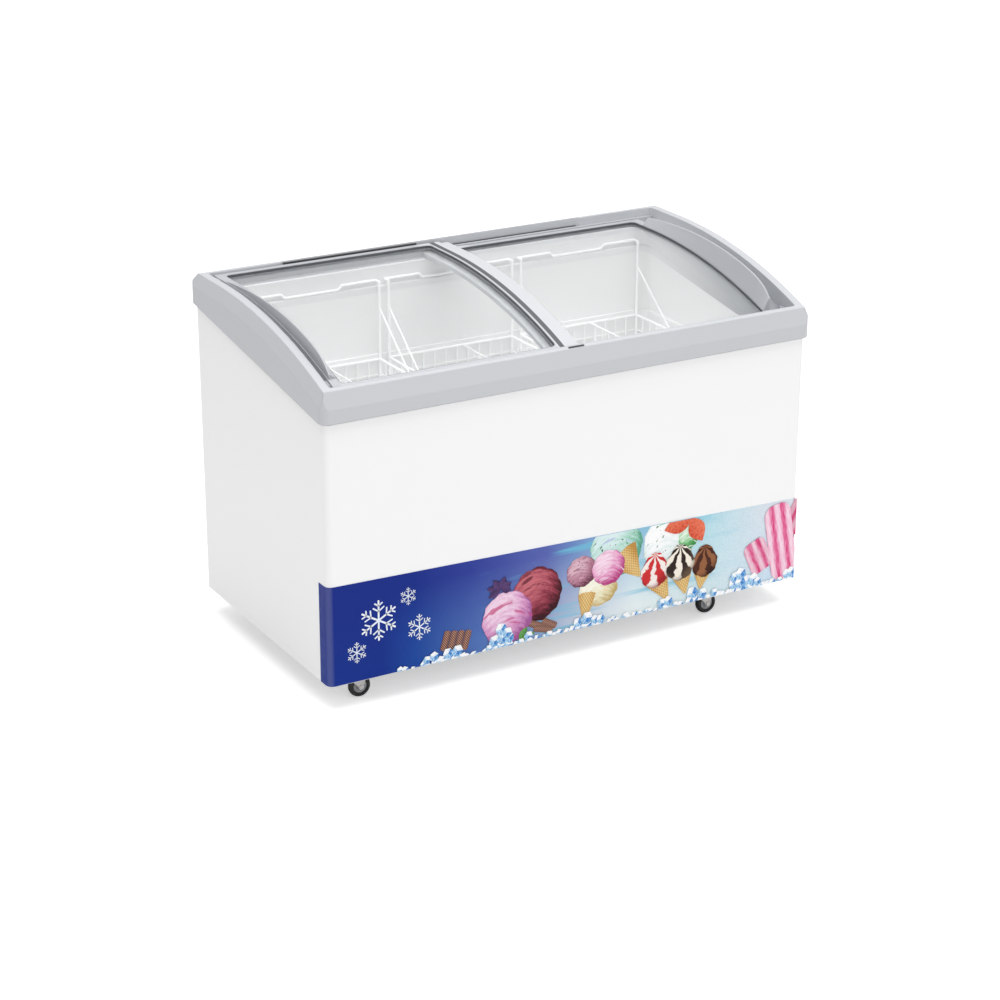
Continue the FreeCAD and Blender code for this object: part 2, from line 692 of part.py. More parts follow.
def condenser():
    """Fin and tube block: plates threaded on rows of tube with return bends."""
    (x0, x1), (y0, y1), (z0, z1) = CONDENSER
    front = y0 + 14
    rear = y1 - 14
    plates = [box(x, x + FIN_T, y0, y1, z0, z1) for x in range(x0 + 8, x1 - 8, FIN_PITCH)]
    tubes = []
    for row in range(TUBE_ROWS):
        z = TUBE_Z + row * TUBE_PITCH
        tubes += wire_path([(x0, front, z), (x1, front, z), (x1, rear, z), (x0, rear, z)], TUBE_R)
        if row:
            tubes += wire_path([(x0, front, z), (x0, rear, z - TUBE_PITCH)], TUBE_R)
    foot = box(x0 + 8, x1 - 8, y0, y1, z0 - 2, z0 + 1)
    return fused(plates + tubes + [foot])


def fan_shroud():
    """Square duct plate with a round mouth behind the condenser, and a beam that carries the motor."""
    plate_y = CONDENSER[1][1] + 4
    ring_end = plate_y + 46
    beam_y = FAN_Y + 14
    plate = box(FAN_X - 102, FAN_X + 102, plate_y, plate_y + 8, BASE_Z + 4, FAN_Z + 95)
    ring = rod((FAN_X, plate_y + 2, FAN_Z), (FAN_X, ring_end, FAN_Z), MOUTH_R + 6)
    mouth = rod((FAN_X, plate_y - 10, FAN_Z), (FAN_X, ring_end + 10, FAN_Z), MOUTH_R)
    beam = box(FAN_X - MOUTH_R, FAN_X + MOUTH_R, beam_y, beam_y + 6, FAN_Z - 9, FAN_Z + 9)
    legs = [box(leg_x - 4, leg_x + 4, ring_end - 2, beam_y + 6, FAN_Z - 6, FAN_Z + 6)
            for leg_x in (FAN_X - MOUTH_R, FAN_X + MOUTH_R)]
    hub = rod((FAN_X, beam_y - 4, FAN_Z), (FAN_X, beam_y + 16, FAN_Z), NECK_R)
    return cut_all(fused([plate.fuse(ring).cut(mouth), beam] + legs), [hub])


def fan_motor():
    """Shaded-pole motor on the beam, with its shaft towards the fan."""
    can = rod((FAN_X, FAN_Y + 20, FAN_Z), (FAN_X, FAN_Y + 62, FAN_Z), 30)
    stack = box(FAN_X - 36, FAN_X + 36, FAN_Y + 30, FAN_Y + 50, FAN_Z - 32, FAN_Z + 32)
    neck = rod((FAN_X, FAN_Y + 8, FAN_Z), (FAN_X, FAN_Y + 22, FAN_Z), NECK_R)
    shaft = rod((FAN_X, FAN_Y - 34, FAN_Z), (FAN_X, FAN_Y + 10, FAN_Z), SHAFT_R)
    return fused([can, stack, neck, shaft])


def fan_blade():
    """Pitched blades round a hub that turns with the motor's shaft."""
    hub = rod((FAN_X, FAN_Y - 28, FAN_Z), (FAN_X, FAN_Y + 4, FAN_Z), FAN_HUB_R)
    blades = []
    for i in range(FAN_BLADES):
        blade = box(-1.2, 1.2, -15, 15, FAN_HUB_R - 6, FAN_TIP_R)
        blade.rotate(Vec(0, 0, 0), Z_AXIS, 55)
        blade.rotate(Vec(0, 0, 0), Y_AXIS, i * 360 / FAN_BLADES)
        blade.translate(Vec(FAN_X, FAN_Y - 12, FAN_Z))
        blades.append(blade)
    bore = rod((FAN_X, FAN_Y - 40, FAN_Z), (FAN_X, FAN_Y + 10, FAN_Z), SHAFT_R + RUNNING)
    return fused([hub] + blades).cut(bore)


def filter_drier():
    """Copper can with tapered ends on the liquid line."""
    ends = [Vec(DRIER_X, y, DRIER_Z) for y in DRIER_Y]
    can = Part.makeCylinder(11, DRIER_Y[1] - DRIER_Y[0], ends[0], Y_AXIS)
    noses = [Part.makeCone(11, 4, 14, ends[0], -Y_AXIS), Part.makeCone(11, 4, 14, ends[1], Y_AXIS)]
    return fused([can] + noses)


def pipework(neighbours):
    """Discharge, liquid, capillary and suction lines, ending where they meet the parts they join."""
    side = CONDENSER[0][1] + 14
    rear = COMPRESSOR_Y + 100
    front = CONDENSER[1][1] - 20
    high = OUTLET[2]
    discharge = wire_path([(FAN_X - 62, COMPRESSOR_Y + 84, high), (FAN_X - 70, rear, high),
                           (side, rear, high), (side, front + 16, high), (side - 10, front, high)], 3)
    liquid = wire_path([(DRIER_X - 6, front + 5, TUBE_Z), (DRIER_X - 10, front + 40, TUBE_Z),
                        (DRIER_X - 10, DRIER_Y[0] - 30, DRIER_Z + 12),
                        (DRIER_X, DRIER_Y[0] - 15, DRIER_Z)], 3)
    capillary = wire_path([(DRIER_X, DRIER_Y[1] + 15, DRIER_Z), (DRIER_X, DRIER_Y[1] + 26, DRIER_Z + 20),
                           (DRIER_X - 16, DRIER_Y[1] + 26, BAY_TOP - 6)], 1.5)
    suction = wire_path([(FAN_X, COMPRESSOR_Y, POT_Z1 + 1), (FAN_X, COMPRESSOR_Y, POT_Z1 + 40),
                         (FAN_X - 42, COMPRESSOR_Y, BAY_TOP - 11),
                         (FAN_X - 42, COMPRESSOR_Y, BAY_TOP - 2)], 4)
    return Part.makeCompound([cut_all(fused(line), neighbours)
                              for line in (discharge, liquid, capillary, suction)])


def louvre_grille(width, height):
    """Plastic grille in the XZ plane facing -Y: frame, slats and a rear flange that fills the opening."""
    rim = box(-width / 2 - GRILLE_RIM, width / 2 + GRILLE_RIM, -GRILLE_PROUD, 0,
              -height / 2 - GRILLE_RIM, height / 2 + GRILLE_RIM)
    rim = rim.makeFillet(1.5, [e for e in rim.Edges if all(v.Point.y < -2 for v in e.Vertexes)])
    plug = box(-width / 2 + 0.5, width / 2 - 0.5, -1, 6, -height / 2 + 0.5, height / 2 - 0.5)
    window = box(-width / 2 + 8, width / 2 - 8, -5, 10, -height / 2 + 8, height / 2 - 8)
    slats = []
    for i in range(int((height - 20) // SLAT_PITCH)):
        slat = box(-width / 2 + 7, width / 2 - 7, -1, 1, -6, 6)
        slat.rotate(Vec(0, 0, 0), X_AXIS, 35)
        slat.translate(Vec(0, 2, -height / 2 + 16 + i * SLAT_PITCH))
        slats.append(slat)
    return fused([rim.fuse(plug).cut(window)] + slats)


def side_grille():
    grille = louvre_grille(SIDE_GRILLE_W, GRILLE_H)
    grille.rotate(Vec(0, 0, 0), Z_AXIS, 90)
    grille.translate(Vec(HALF_W, SIDE_GRILLE_Y, GRILLE_Z))
    return grille


def rear_grille():
    grille = louvre_grille(REAR_GRILLE_W, GRILLE_H)
    grille.rotate(Vec(0, 0, 0), Z_AXIS, 180)
    grille.translate(Vec(REAR_GRILLE_X, HALF_D, GRILLE_Z))
    return cut_all(grille, [rod((x, HALF_D - 20, z), (x, HALF_D + 20, z), 2) for x, z in screw_places()])


def screw_places():
    """The four corners of the rear grille's rim."""
    out = GRILLE_RIM / 2
    return [(REAR_GRILLE_X + sx * (REAR_GRILLE_W / 2 + out), GRILLE_Z + sz * (GRILLE_H / 2 + out))
            for sx in (-1, 1) for sz in (-1, 1)]


def panel_screws():
    """Pan-head screws that hold the rear grille."""
    screws = []
    face = HALF_D + GRILLE_PROUD
    for x, z in screw_places():
        head = Part.makeCylinder(4, 2, Vec(x, face, z), Y_AXIS)
        shank = Part.makeCylinder(1.9, GRILLE_PROUD - 0.1, Vec(x, HALF_D + 0.1, z), Y_AXIS)
        slot = box(x - 5, x + 5, face + 1.1, face + 3.5, z - 0.5, z + 0.5)
        screws.append(head.fuse(shank).cut(slot))
    return Part.makeCompound(screws)


def control_panel():
    """Plate in the right side that holds the thermostat knob and the switch."""
    plate = box(HALF_W, HALF_W + 2, KNOB_Y - 22, KNOB_Y + 22, CONTROL_Z0 - 6, CONTROL_Z1 + 6)
    plug = box(HALF_W - 4, HALF_W + 1, KNOB_Y - 16.5, KNOB_Y + 16.5, CONTROL_Z0 + 0.5, CONTROL_Z1 - 0.5)
    knob_hole = rod((HALF_W - 10, KNOB_Y, KNOB_Z), (HALF_W + 10, KNOB_Y, KNOB_Z), SHAFT_R + 1)
    switch_hole = box(HALF_W - 10, HALF_W + 10, KNOB_Y - 8, KNOB_Y + 8, SWITCH_Z - 13, SWITCH_Z + 13)
    return cut_all(fused([plate, plug]), [knob_hole, switch_hole])


def thermostat():
    """Control box behind the panel with its spindle."""
    case = box(HALF_W - 40, HALF_W - 5, KNOB_Y - 16, KNOB_Y + 20, KNOB_Z - 22, KNOB_Z + 22)
    spindle = rod((HALF_W - 6, KNOB_Y, KNOB_Z), (HALF_W + 8, KNOB_Y, KNOB_Z), SHAFT_R)
    return fused([case, spindle])


def thermostat_knob():
    """Fluted knob with a pointer rib."""
    knob = rod((HALF_W + 2.3, KNOB_Y, KNOB_Z), (HALF_W + 16, KNOB_Y, KNOB_Z), KNOB_R)
    flutes = []
    for i in range(KNOB_FLUTES):
        turn = math.tau * i / KNOB_FLUTES
        y = KNOB_Y + (KNOB_R + 1.2) * math.cos(turn)
        z = KNOB_Z + (KNOB_R + 1.2) * math.sin(turn)
        flutes.append(rod((HALF_W, y, z), (HALF_W + 20, y, z), 2))
    rib = box(HALF_W + 15, HALF_W + 17.5, KNOB_Y - 1, KNOB_Y + 1, KNOB_Z + 2, KNOB_Z + KNOB_R - 2)
    spindle = rod((HALF_W, KNOB_Y, KNOB_Z), (HALF_W + 9, KNOB_Y, KNOB_Z), SHAFT_R + RUNNING)
    return cut_all(knob.fuse(rib), flutes + [spindle])


def power_switch():
    """Rocker with a shallow V across its face, bored for the pivot it rocks on."""
    half = ROCKER_W / 2
    corners = [(SWITCH_Z - 11, HALF_W + 4), (SWITCH_Z, HALF_W + 2.6), (SWITCH_Z + 11, HALF_W + 4),
               (SWITCH_Z + 11, HALF_W - 3), (SWITCH_Z - 11, HALF_W - 3)]
    loop = [Vec(x, KNOB_Y - half, z) for z, x in corners]
    rocker = Part.Face(Part.makePolygon(loop + loop[:1])).extrude(Vec(0, ROCKER_W, 0))
    return rocker.cut(rod((HALF_W, KNOB_Y - ROCKER_W, SWITCH_Z), (HALF_W, KNOB_Y + ROCKER_W, SWITCH_Z), 1))


def power_cord():
    """Cord from the rear panel up to its plug, hung in a loop on the back."""
    y = HALF_D + 4.2
    loop_x = 200
    plug_x = 260
    bends = [(CORD_X, CORD_Z), (CORD_X, 80), (loop_x + 40, 74), (loop_x, 110), (loop_x, 380), (230, 410),
             (plug_x, 380), (plug_x, 190)]
    line = wire_path([(CORD_X, HALF_D - 40, CORD_Z)] + [(x, y, z) for x, z in bends], 3.5)
    bush = rod((CORD_X, HALF_D - 5, CORD_Z), (CORD_X, HALF_D + 2.5, CORD_Z), 5.5)
    plug = box(plug_x - 14, plug_x + 14, HALF_D + 0.6, HALF_D + 7.8, 140, 192)
    return fused(line + [bush, plug])


def drain_tube():
    """Tube through the floor insulation with a hose spigot under the body."""
    def turned(z0, z1, radius):
        return Part.makeCylinder(radius, z1 - z0, Vec(DRAIN_X, DRAIN_Y, z0))

    outside = fused([turned(BASE_Z - SPIGOT_LONG, TANK_FLOOR - 3, SPIGOT_R),
                     turned(TANK_FLOOR - 4, TANK_FLOOR - 1, DRAIN_R),
                     turned(BASE_Z, BASE_Z + 8, DRAIN_R - 0.1)])
    return outside.cut(turned(0, TANK_FLOOR + 5, DRAIN_BORE))


def drain_plug():
    """Rubber plug with a pull tab, pressed into the drain from above."""
    stem = Part.makeCylinder(DRAIN_BORE - 0.1, 14, Vec(DRAIN_X, DRAIN_Y, TANK_FLOOR - 12))
    head = Part.makeCylinder(17, 4, Vec(DRAIN_X, DRAIN_Y, TANK_FLOOR + 0.3))
    tab = box(DRAIN_X - 2, DRAIN_X + 2, DRAIN_Y - 8, DRAIN_Y + 8, TANK_FLOOR + 3, TANK_FLOOR + 16)
    return fused([stem, head, tab])


# ---- casters ----

def caster_places():
    return [(x, y) for x in CASTER_X for y in CASTER_Y]


def bolt_places(x, y):
    return [(x + sx * BOLT_AT, y + sy * BOLT_AT) for sx in (-1, 1) for sy in (-1, 1)]


def caster_plates():
    """Top plate, ball race and king pin of each caster."""
    plates = []
    for x, y in caster_places():
        plate = rounded_prism(x - 30, x + 30, y - 30, y + 30, PLATE_Z, BASE_Z, 5)
        race = Part.makeCylinder(RACE_R, PLATE_Z - CROWN_TOP - 0.2, Vec(x, y, CROWN_TOP + 0.2))
        pin = Part.makeCylinder(KING_R, 8, Vec(x, y, CROWN_TOP - 2.4))
        head = Part.makeCylinder(KING_R + 2, 1.4, Vec(x, y, CROWN_TOP - CROWN - 1.6))
        holes = [rod((bx, by, 50), (bx, by, 65), BOLT_R + 0.2) for bx, by in bolt_places(x, y)]
        plates.append(cut_all(fused([plate, race, pin, head]), holes))
    return Part.makeCompound(plates)


def caster_bolts():
    """Hexagon bolts, four to each caster plate."""
    bolts = []
    head_z = PLATE_Z - 3.5
    for cx, cy in caster_places():
        for x, y in bolt_places(cx, cy):
            ring = [Vec(x + 5.2 * math.cos(i * math.pi / 3), y + 5.2 * math.sin(i * math.pi / 3), head_z)
                    for i in range(6)]
            head = Part.Face(Part.makePolygon(ring + ring[:1])).extrude(Vec(0, 0, PLATE_Z - head_z))
            shank = Part.makeCylinder(BOLT_R, BASE_Z - PLATE_Z + 0.5, Vec(x, y, PLATE_Z - 0.5))
            bolts.append(head.fuse(shank))
    return Part.makeCompound(bolts)


def caster_fork(x, y):
    """Bent steel fork with tapering legs, and the axle riveted through them."""
    leg_in = WHEEL_T / 2 + 1
    leg_out = leg_in + CROWN
    axle_x = x + TRAIL
    front = x - RACE_R
    back = x + 26
    crown = box(front, back, y - leg_out, y + leg_out, CROWN_TOP - CROWN, CROWN_TOP)
    crown = crown.fuse(Part.makeCylinder(RACE_R, CROWN, Vec(x, y, CROWN_TOP - CROWN)))
    outline = [(front, CROWN_TOP), (back, CROWN_TOP), (axle_x + 6, WHEEL_R), (axle_x - 6, WHEEL_R)]
    legs = []
    for y0 in (y - leg_out, y + leg_in):
        loop = [Vec(px, y0, pz) for px, pz in outline]
        leg = Part.Face(Part.makePolygon(loop + loop[:1])).extrude(Vec(0, CROWN, 0))
        eye = rod((axle_x, y0, WHEEL_R), (axle_x, y0 + CROWN, WHEEL_R), 6.5)
        legs += [leg, eye]
    pin_hole = Part.makeCylinder(KING_R + RUNNING, 20, Vec(x, y, 45))
    axle_hole = rod((axle_x, y - 20, WHEEL_R), (axle_x, y + 20, WHEEL_R), AXLE_R)
    fork = cut_all(fused([crown] + legs), [pin_hole, axle_hole])
    axle = [rod((axle_x, y - leg_out - 1.5, WHEEL_R), (axle_x, y + leg_out + 1.5, WHEEL_R), AXLE_R)]
    for side in (-1, 1):
        face = y + side * leg_out
        axle.append(rod((axle_x, face, WHEEL_R), (axle_x, face + side * 2, WHEEL_R), AXLE_R + 2))
    return Part.makeCompound([fork, fused(axle)])


def caster_wheel(x, y):
    """One-piece wheel with a crowned tread and recessed sides."""
    half = WHEEL_T / 2
    axle_x = x + TRAIL
    profile = [(AXLE_R + RUNNING, half), (8, half), (9, half - 4), (15, half - 4), (17, half - 1),
               (WHEEL_R - 3, half - 1)]
    upper = [Vec(axle_x + r, y + t, WHEEL_R) for r, t in profile]
    lower = [Vec(axle_x + r, y - t, WHEEL_R) for r, t in profile]
    tread = Part.Arc(upper[-1], Vec(axle_x + WHEEL_R, y, WHEEL_R), lower[-1]).toShape()
    edges = [Part.makeLine(a, b) for side in (upper, lower) for a, b in zip(side, side[1:])]
    edges += [tread, Part.makeLine(upper[0], lower[0])]
    face = Part.Face(Part.Wire(Part.__sortEdges__(edges)))
    return face.revolve(Vec(axle_x, y, WHEEL_R), Y_AXIS, 360)


# ---- build ----

coil = evaporator_coil()
front_track, rear_track = tracks()
block = condenser()
drier = filter_drier()
pot = compressor()
save(outer_shell(), "outer_shell")
save(rear_panel(), "rear_panel")
save(base_pan(), "base_pan")
save(inner_liner(), "inner_liner")
save(coil, "evaporator_coil")
save(insulation_foam(coil), "insulation_foam")
save(graphic_panel(), "graphic_panel")
save(top_frame(), "top_frame")
save(frame_collar([front_track, rear_track]), "frame_collar")
save(front_track, "front_track")
save(rear_track, "rear_track")
save(rear_brush_seal(), "rear_brush_seal")
save(front_stop(), "front_stop")
save(end_stops(), "end_stops")
save(pot, "compressor")
save(compressor_plate(), "compressor_plate")
save(compressor_grommets(), "compressor_grommets")
save(relay_cover(), "relay_cover")
save(block, "condenser")
save(fan_shroud(), "fan_shroud")
save(fan_motor(), "fan_motor")
save(fan_blade(), "fan_blade")
save(drier, "filter_drier")
save(pipework([block, drier, pot]), "pipework")
save(side_grille(), "side_grille")
save(rear_grille(), "rear_grille")
save(panel_screws(), "panel_screws")
save(control_panel(), "control_panel")
save(thermostat(), "thermostat")
save(thermostat_knob(), "thermostat_knob")
save(power_switch(), "power_switch")
save(power_cord(), "power_cord")
save(drain_tube(), "drain_tube")
save(drain_plug(), "drain_plug")
save(caster_plates(), "caster_plates")
save(caster_bolts(), "caster_bolts")

for number, (cx, cy) in enumerate(caster_places(), 1):
    save(caster_fork(cx, cy), f"caster_fork_{number}")
    save(caster_wheel(cx, cy), f"caster_wheel_{number}")

lids = lid_parts("left_lid", LEFT_LID_X, UPPER_FRONT, UPPER_REAR, UPPER_DROP, True)
lids.update(lid_parts("right_lid", RIGHT_LID_X, LOWER_FRONT, LOWER_REAR, LOWER_DROP, False))
for node, shape in lids.items():
    save(shape, node)

pattern = basket(0)
for number, bx in enumerate(BASKET_X, 1):
    save(pattern.translated(Vec(bx, 0, 0)), f"wire_basket_{number}")
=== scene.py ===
"""Looks of a chest freezer with a curved glass top: finishes, printed front, studio light and camera."""

import json
import math
import random

import bmesh
import bpy
from mathutils import Matrix, Vector


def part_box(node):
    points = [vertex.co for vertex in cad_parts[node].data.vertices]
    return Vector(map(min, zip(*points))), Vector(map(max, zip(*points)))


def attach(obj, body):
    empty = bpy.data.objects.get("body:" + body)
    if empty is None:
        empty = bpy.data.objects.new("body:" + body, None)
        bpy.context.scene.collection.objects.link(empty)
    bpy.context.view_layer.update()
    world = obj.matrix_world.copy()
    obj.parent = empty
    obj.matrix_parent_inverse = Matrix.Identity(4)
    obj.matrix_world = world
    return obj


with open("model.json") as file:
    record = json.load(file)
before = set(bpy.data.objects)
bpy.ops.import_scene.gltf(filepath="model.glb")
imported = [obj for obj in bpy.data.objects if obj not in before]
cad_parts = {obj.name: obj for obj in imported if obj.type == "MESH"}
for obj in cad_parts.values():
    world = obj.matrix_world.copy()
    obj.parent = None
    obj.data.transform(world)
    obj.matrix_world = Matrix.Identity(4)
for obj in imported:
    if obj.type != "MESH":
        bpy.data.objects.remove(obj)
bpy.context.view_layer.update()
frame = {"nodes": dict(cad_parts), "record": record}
nodes = frame["nodes"]

MM = 0.001
BLACK = (0.0, 0.0, 0.0)
WHITE = (1.0, 1.0, 1.0)

# ---- camera: place in metres, turns in degrees, lens in millimetres ----

CAMERA_AT = (-2.658, -4.564, 2.324)
CAMERA_YAW = 30.17
CAMERA_PITCH = 21.35
CAMERA_ROLL = 0.23
CAMERA_LENS = 90.3
CAMERA_REACH = 100

# ---- light: metres and watts ----

WORLD_LIGHT = 0.62
FLOOR_SIZE = 40.0
FLOOR_GLOW = 0.45
LAMP_AIM = (0, 0, 0.5)
LAMPS = (
    # name, place, size, power
    ("ceiling", (0.0, -0.3, 4.2), (5.0, 4.0), 130),
    ("front", (0.8, -5.0, 2.4), (4.0, 3.0), 30),
)

# ---- printed front: where the film is, and the margins that its printed shapes keep ----

PRINT_LO, PRINT_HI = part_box("graphic_panel")
PRINT_WIDTH = PRINT_HI.x - PRINT_LO.x
PRINT_HEIGHT = PRINT_HI.z - PRINT_LO.z
LAYER = 0.1 * MM
INK = LAYER * 0.6
BEND_MARGIN = 14 * MM
END_MARGIN = 3 * MM
RIM_MARGIN = 0.5 * MM

# ---- finishes ----

NOISE_RANGE = (0.3, 0.7)
OPEN_FACE = 0.98
FULL_EDGE = 0.75
SCUFF_GRAIN = 160.0
SCUFF_RANGE = (0.35, 0.8)
SKIN_GRAIN = 900.0
SKIN_DEPTH = 0.008 * MM


# ==== node helpers ====


class Paint:
    """A material under construction. Values can be plain numbers, colours or node outputs."""

    def __init__(self, name):
        self.material = bpy.data.materials.new(name)
        self.material.use_nodes = True
        self.tree = self.material.node_tree
        self.shader = self.tree.nodes["Principled BSDF"]
        self.place = self.add("ShaderNodeTexCoord").outputs["Object"]

    def feed(self, socket, value):
        """Links a node output to a socket, or sets the socket to a number or colour."""
        if isinstance(value, bpy.types.NodeSocket):
            self.tree.links.new(value, socket)
        elif isinstance(value, (tuple, list)) and len(value) == 3 and len(socket.default_value) == 4:
            socket.default_value = (*value, 1)
        else:
            socket.default_value = value

    def add(self, kind, *values, **settings):
        """Makes a node. values go to its inputs in order, and None leaves an input as it is."""
        node = self.tree.nodes.new(kind)
        for name, value in settings.items():
            setattr(node, name, value)
        for socket, value in zip(node.inputs, values):
            if value is not None:
                self.feed(socket, value)
        return node

    def maths(self, operation, *values, clamp=False):
        return self.add("ShaderNodeMath", *values, operation=operation, use_clamp=clamp).outputs[0]

    def vector(self, operation, *values):
        node = self.add("ShaderNodeVectorMath", *values, operation=operation)
        return node.outputs["Value" if operation in ("LENGTH", "DOT_PRODUCT") else "Vector"]

    def parts(self, vector):
        return self.add("ShaderNodeSeparateXYZ", vector).outputs

    def joined(self, x, y, z):
        return self.add("ShaderNodeCombineXYZ", x, y, z).outputs[0]

    def noise(self, scale, detail=2.0, stretch=(1, 1, 1), place=None):
        spot = self.vector("MULTIPLY", place or self.place, stretch)
        node = self.add("ShaderNodeTexNoise")
        self.feed(node.inputs["Vector"], spot)
        node.inputs["Scale"].default_value = scale
        node.inputs["Detail"].default_value = detail
        return node.outputs[0]

    def spread(self, value, low, high, to_low=0.0, to_high=1.0):
        """Maps low to to_low and high to to_high, and stays between them."""
        return self.add("ShaderNodeMapRange", value, low, high, to_low, to_high).outputs[0]

    def ranged(self, noise, low=0.0, high=1.0):
        """Spreads a noise, which seldom leaves NOISE_RANGE, from low to high."""
        return self.spread(noise, *NOISE_RANGE, low, high)

    def mix(self, share, first, second):
        """Mixes two colours. The Mix node keeps its colour sockets behind those for numbers and vectors."""
        share_in, first_in, second_in, result = 0, 6, 7, 2
        node = self.add("ShaderNodeMix", data_type="RGBA")
        self.feed(node.inputs[share_in], share)
        self.feed(node.inputs[first_in], first)
        self.feed(node.inputs[second_in], second)
        return node.outputs[result]

    def ramp(self, value, *stops):
        """Colours along value, from stops of (place, colour) in rising order."""
        node = self.add("ShaderNodeValToRGB", value)
        elements = node.color_ramp.elements
        while len(elements) < len(stops):
            elements.new(0.5)
        for element, (at, colour) in zip(elements, stops):
            element.position = at
            element.color = (*colour, 1)
        return node.outputs[0]

    def bump(self, height, depth, under=None):
        node = self.add("ShaderNodeBump")
        node.inputs["Distance"].default_value = depth
        self.feed(node.inputs["Height"], height)
        if under is not None:
            self.feed(node.inputs["Normal"], under)
        return node.outputs[0]

    def rounded(self, radius):
        """Normals that look as if edges had this radius."""
        return self.add("ShaderNodeBevel", radius, samples=4).outputs[0]

    def edges(self, radius):
        """About 0 on open faces and up to 1 along edges."""
        true_normal = self.add("ShaderNodeNewGeometry").outputs["Normal"]
        turned = self.vector("DOT_PRODUCT", self.rounded(radius), true_normal)
        return self.spread(turned, OPEN_FACE, FULL_EDGE)

    def scuffed(self, colour, worn, wear, width):
        """colour, with up to wear of the worn colour in patches along edges."""
        scuffs = self.maths("MULTIPLY", self.edges(width), self.noise(SCUFF_GRAIN, 4.0))
        return self.mix(self.spread(scuffs, *SCUFF_RANGE, 0.0, wear), colour, worn)

    def skin(self, radius):
        """Fine grain of moulded plastic, with edges that look rounded."""
        return self.bump(self.noise(SKIN_GRAIN, 3.0), SKIN_DEPTH, self.rounded(radius))

    def set(self, **values):
        """Sets the shader's inputs, named with underscores for spaces, and gives back the material."""
        for name, value in values.items():
            self.feed(self.shader.inputs[name.replace("_", " ")], value)
        return self.material


def srgb(code):
    """A colour such as "E6E6E6" as the linear numbers that shaders use."""
    shares = [int(code[k : k + 2], 16) / 255 for k in (0, 2, 4)]
    return tuple(s / 12.92 if s <= 0.04045 else ((s + 0.055) / 1.055) ** 2.4 for s in shares)


def shaded(colour, factor):
    return tuple(min(1.0, c * factor) for c in colour)


# ==== finishes of the CAD parts ====


def finish(name, colour, rough, grain, depth, mottle=0.03, worn=None, wear=0.0, soft=0.0,
           stretch=(1, 1, 1), edge=1.2 * MM, **more):
    """A finish with cloudy colour, uneven gloss, fine relief and worn edges.

    grain is per metre. depth, soft (how far edges look rounded) and edge (how wide they wear) are in metres.
    """
    paint = Paint(name)
    cloud = paint.noise(3.0, 3.0)
    base = paint.mix(cloud, shaded(colour, 1 - mottle), shaded(colour, 1 + mottle))
    if worn is not None:
        base = paint.scuffed(base, worn, wear, edge)
    uneven = paint.noise(grain * 0.2, 3.0, stretch)
    under = paint.rounded(soft) if soft else None
    return paint.set(
        Base_Color=base,
        Roughness=paint.spread(uneven, 0.0, 1.0, rough * 0.9, min(1.0, rough * 1.1)),
        Normal=paint.bump(paint.noise(grain, 3.0, stretch), depth, under),
        **more,
    )


def white_steel():
    """Gloss enamel on sheet steel that has faint long waves."""
    return finish("white_enamel", srgb("F7F7F7"), 0.3, 4, 0.01 * MM, 0.004, srgb("C9CACB"), 0.2,
                  edge=0.5 * MM, Coat_Weight=0.25, Coat_Roughness=0.12)


def liner_white():
    """Satin inner skin, with a faint glow that stands in for light bounced about the well."""
    return finish("liner_enamel", srgb("F8F8F8"), 0.34, 180, 0.002 * MM, 0.01, srgb("E4E5E6"), 0.2, 1.5 * MM,
                  Emission_Color=WHITE, Emission_Strength=0.03)


def bare_steel():
    return finish("galvanised_steel", srgb("B4B7BA"), 0.42, 60, 0.01 * MM, 0.12, srgb("8A8C8E"), 0.5,
                  Metallic=0.9)


def foam():
    """Poured foam: yellow, matt and full of small cells."""
    return finish("poured_foam", srgb("E9DDA9"), 0.95, 350, 0.3 * MM, 0.08, srgb("C9B67A"), 0.4)


def frame_grey():
    return finish("frame_plastic", srgb("C6C8CC"), 0.42, SKIN_GRAIN, SKIN_DEPTH, 0.012, srgb("DDDEE2"), 0.3,
                  4 * MM)


def collar_grey():
    """Moulded trim under the lids, with painted light and shade: darker at the front, paler towards the rear.
    """
    painted_shade_y = -0.24
    painted_light_y = 0.18
    paint = Paint("collar_plastic_painted_light")
    # Painted shade at the front that pales to painted light towards the rear, following the part's y.
    rear = paint.spread(paint.parts(paint.place)[1], painted_shade_y, painted_light_y)
    shade = paint.mix(rear, srgb("9DA0A5"), srgb("F4F4F5"))
    cloud = paint.ranged(paint.noise(3.0, 3.0), 0.0, 0.12)
    return paint.set(
        Base_Color=paint.mix(cloud, shade, srgb("D5D6DA")),
        Roughness=paint.ranged(paint.noise(180.0, 3.0), 0.38, 0.5),
        Normal=paint.skin(2 * MM),
    )


def track_grey():
    """Extruded runner, with grain drawn out along it."""
    return finish("track_plastic", srgb("BDBFC4"), 0.38, 500, SKIN_DEPTH, 0.02, srgb("D8DADD"), 0.4, 0.6 * MM,
                  stretch=(0.05, 1, 1))


def lid_grey():
    """Lid rails: grey at the handles, paler where the two lids meet."""
    pale_until = 50 * MM
    grey_from = 70 * MM
    paint = Paint("lid_plastic")
    away = paint.maths("ABSOLUTE", paint.parts(paint.place)[0])
    shade = paint.mix(paint.spread(away, pale_until, grey_from), srgb("CDCFD3"), srgb("B9BBC0"))
    return paint.set(
        Base_Color=paint.scuffed(shade, srgb("DCDDE0"), 0.4, 1.2 * MM),
        Roughness=paint.ranged(paint.noise(180.0, 3.0), 0.3, 0.42),
        Normal=paint.skin(1.4 * MM),
    )


def lid_clear():
    """Frosted lid rail that lets a little through."""
    return finish("frosted_rail", srgb("CBCDD2"), 0.38, SKIN_GRAIN, SKIN_DEPTH, 0.015, srgb("E4E5E8"), 0.4,
                  1.0 * MM, Alpha=0.9)


def gasket_grey():
    return finish("gasket_rubber", srgb("5C5E62"), 0.62, 700, 0.03 * MM, 0.06, srgb("7C7E82"), 0.4)


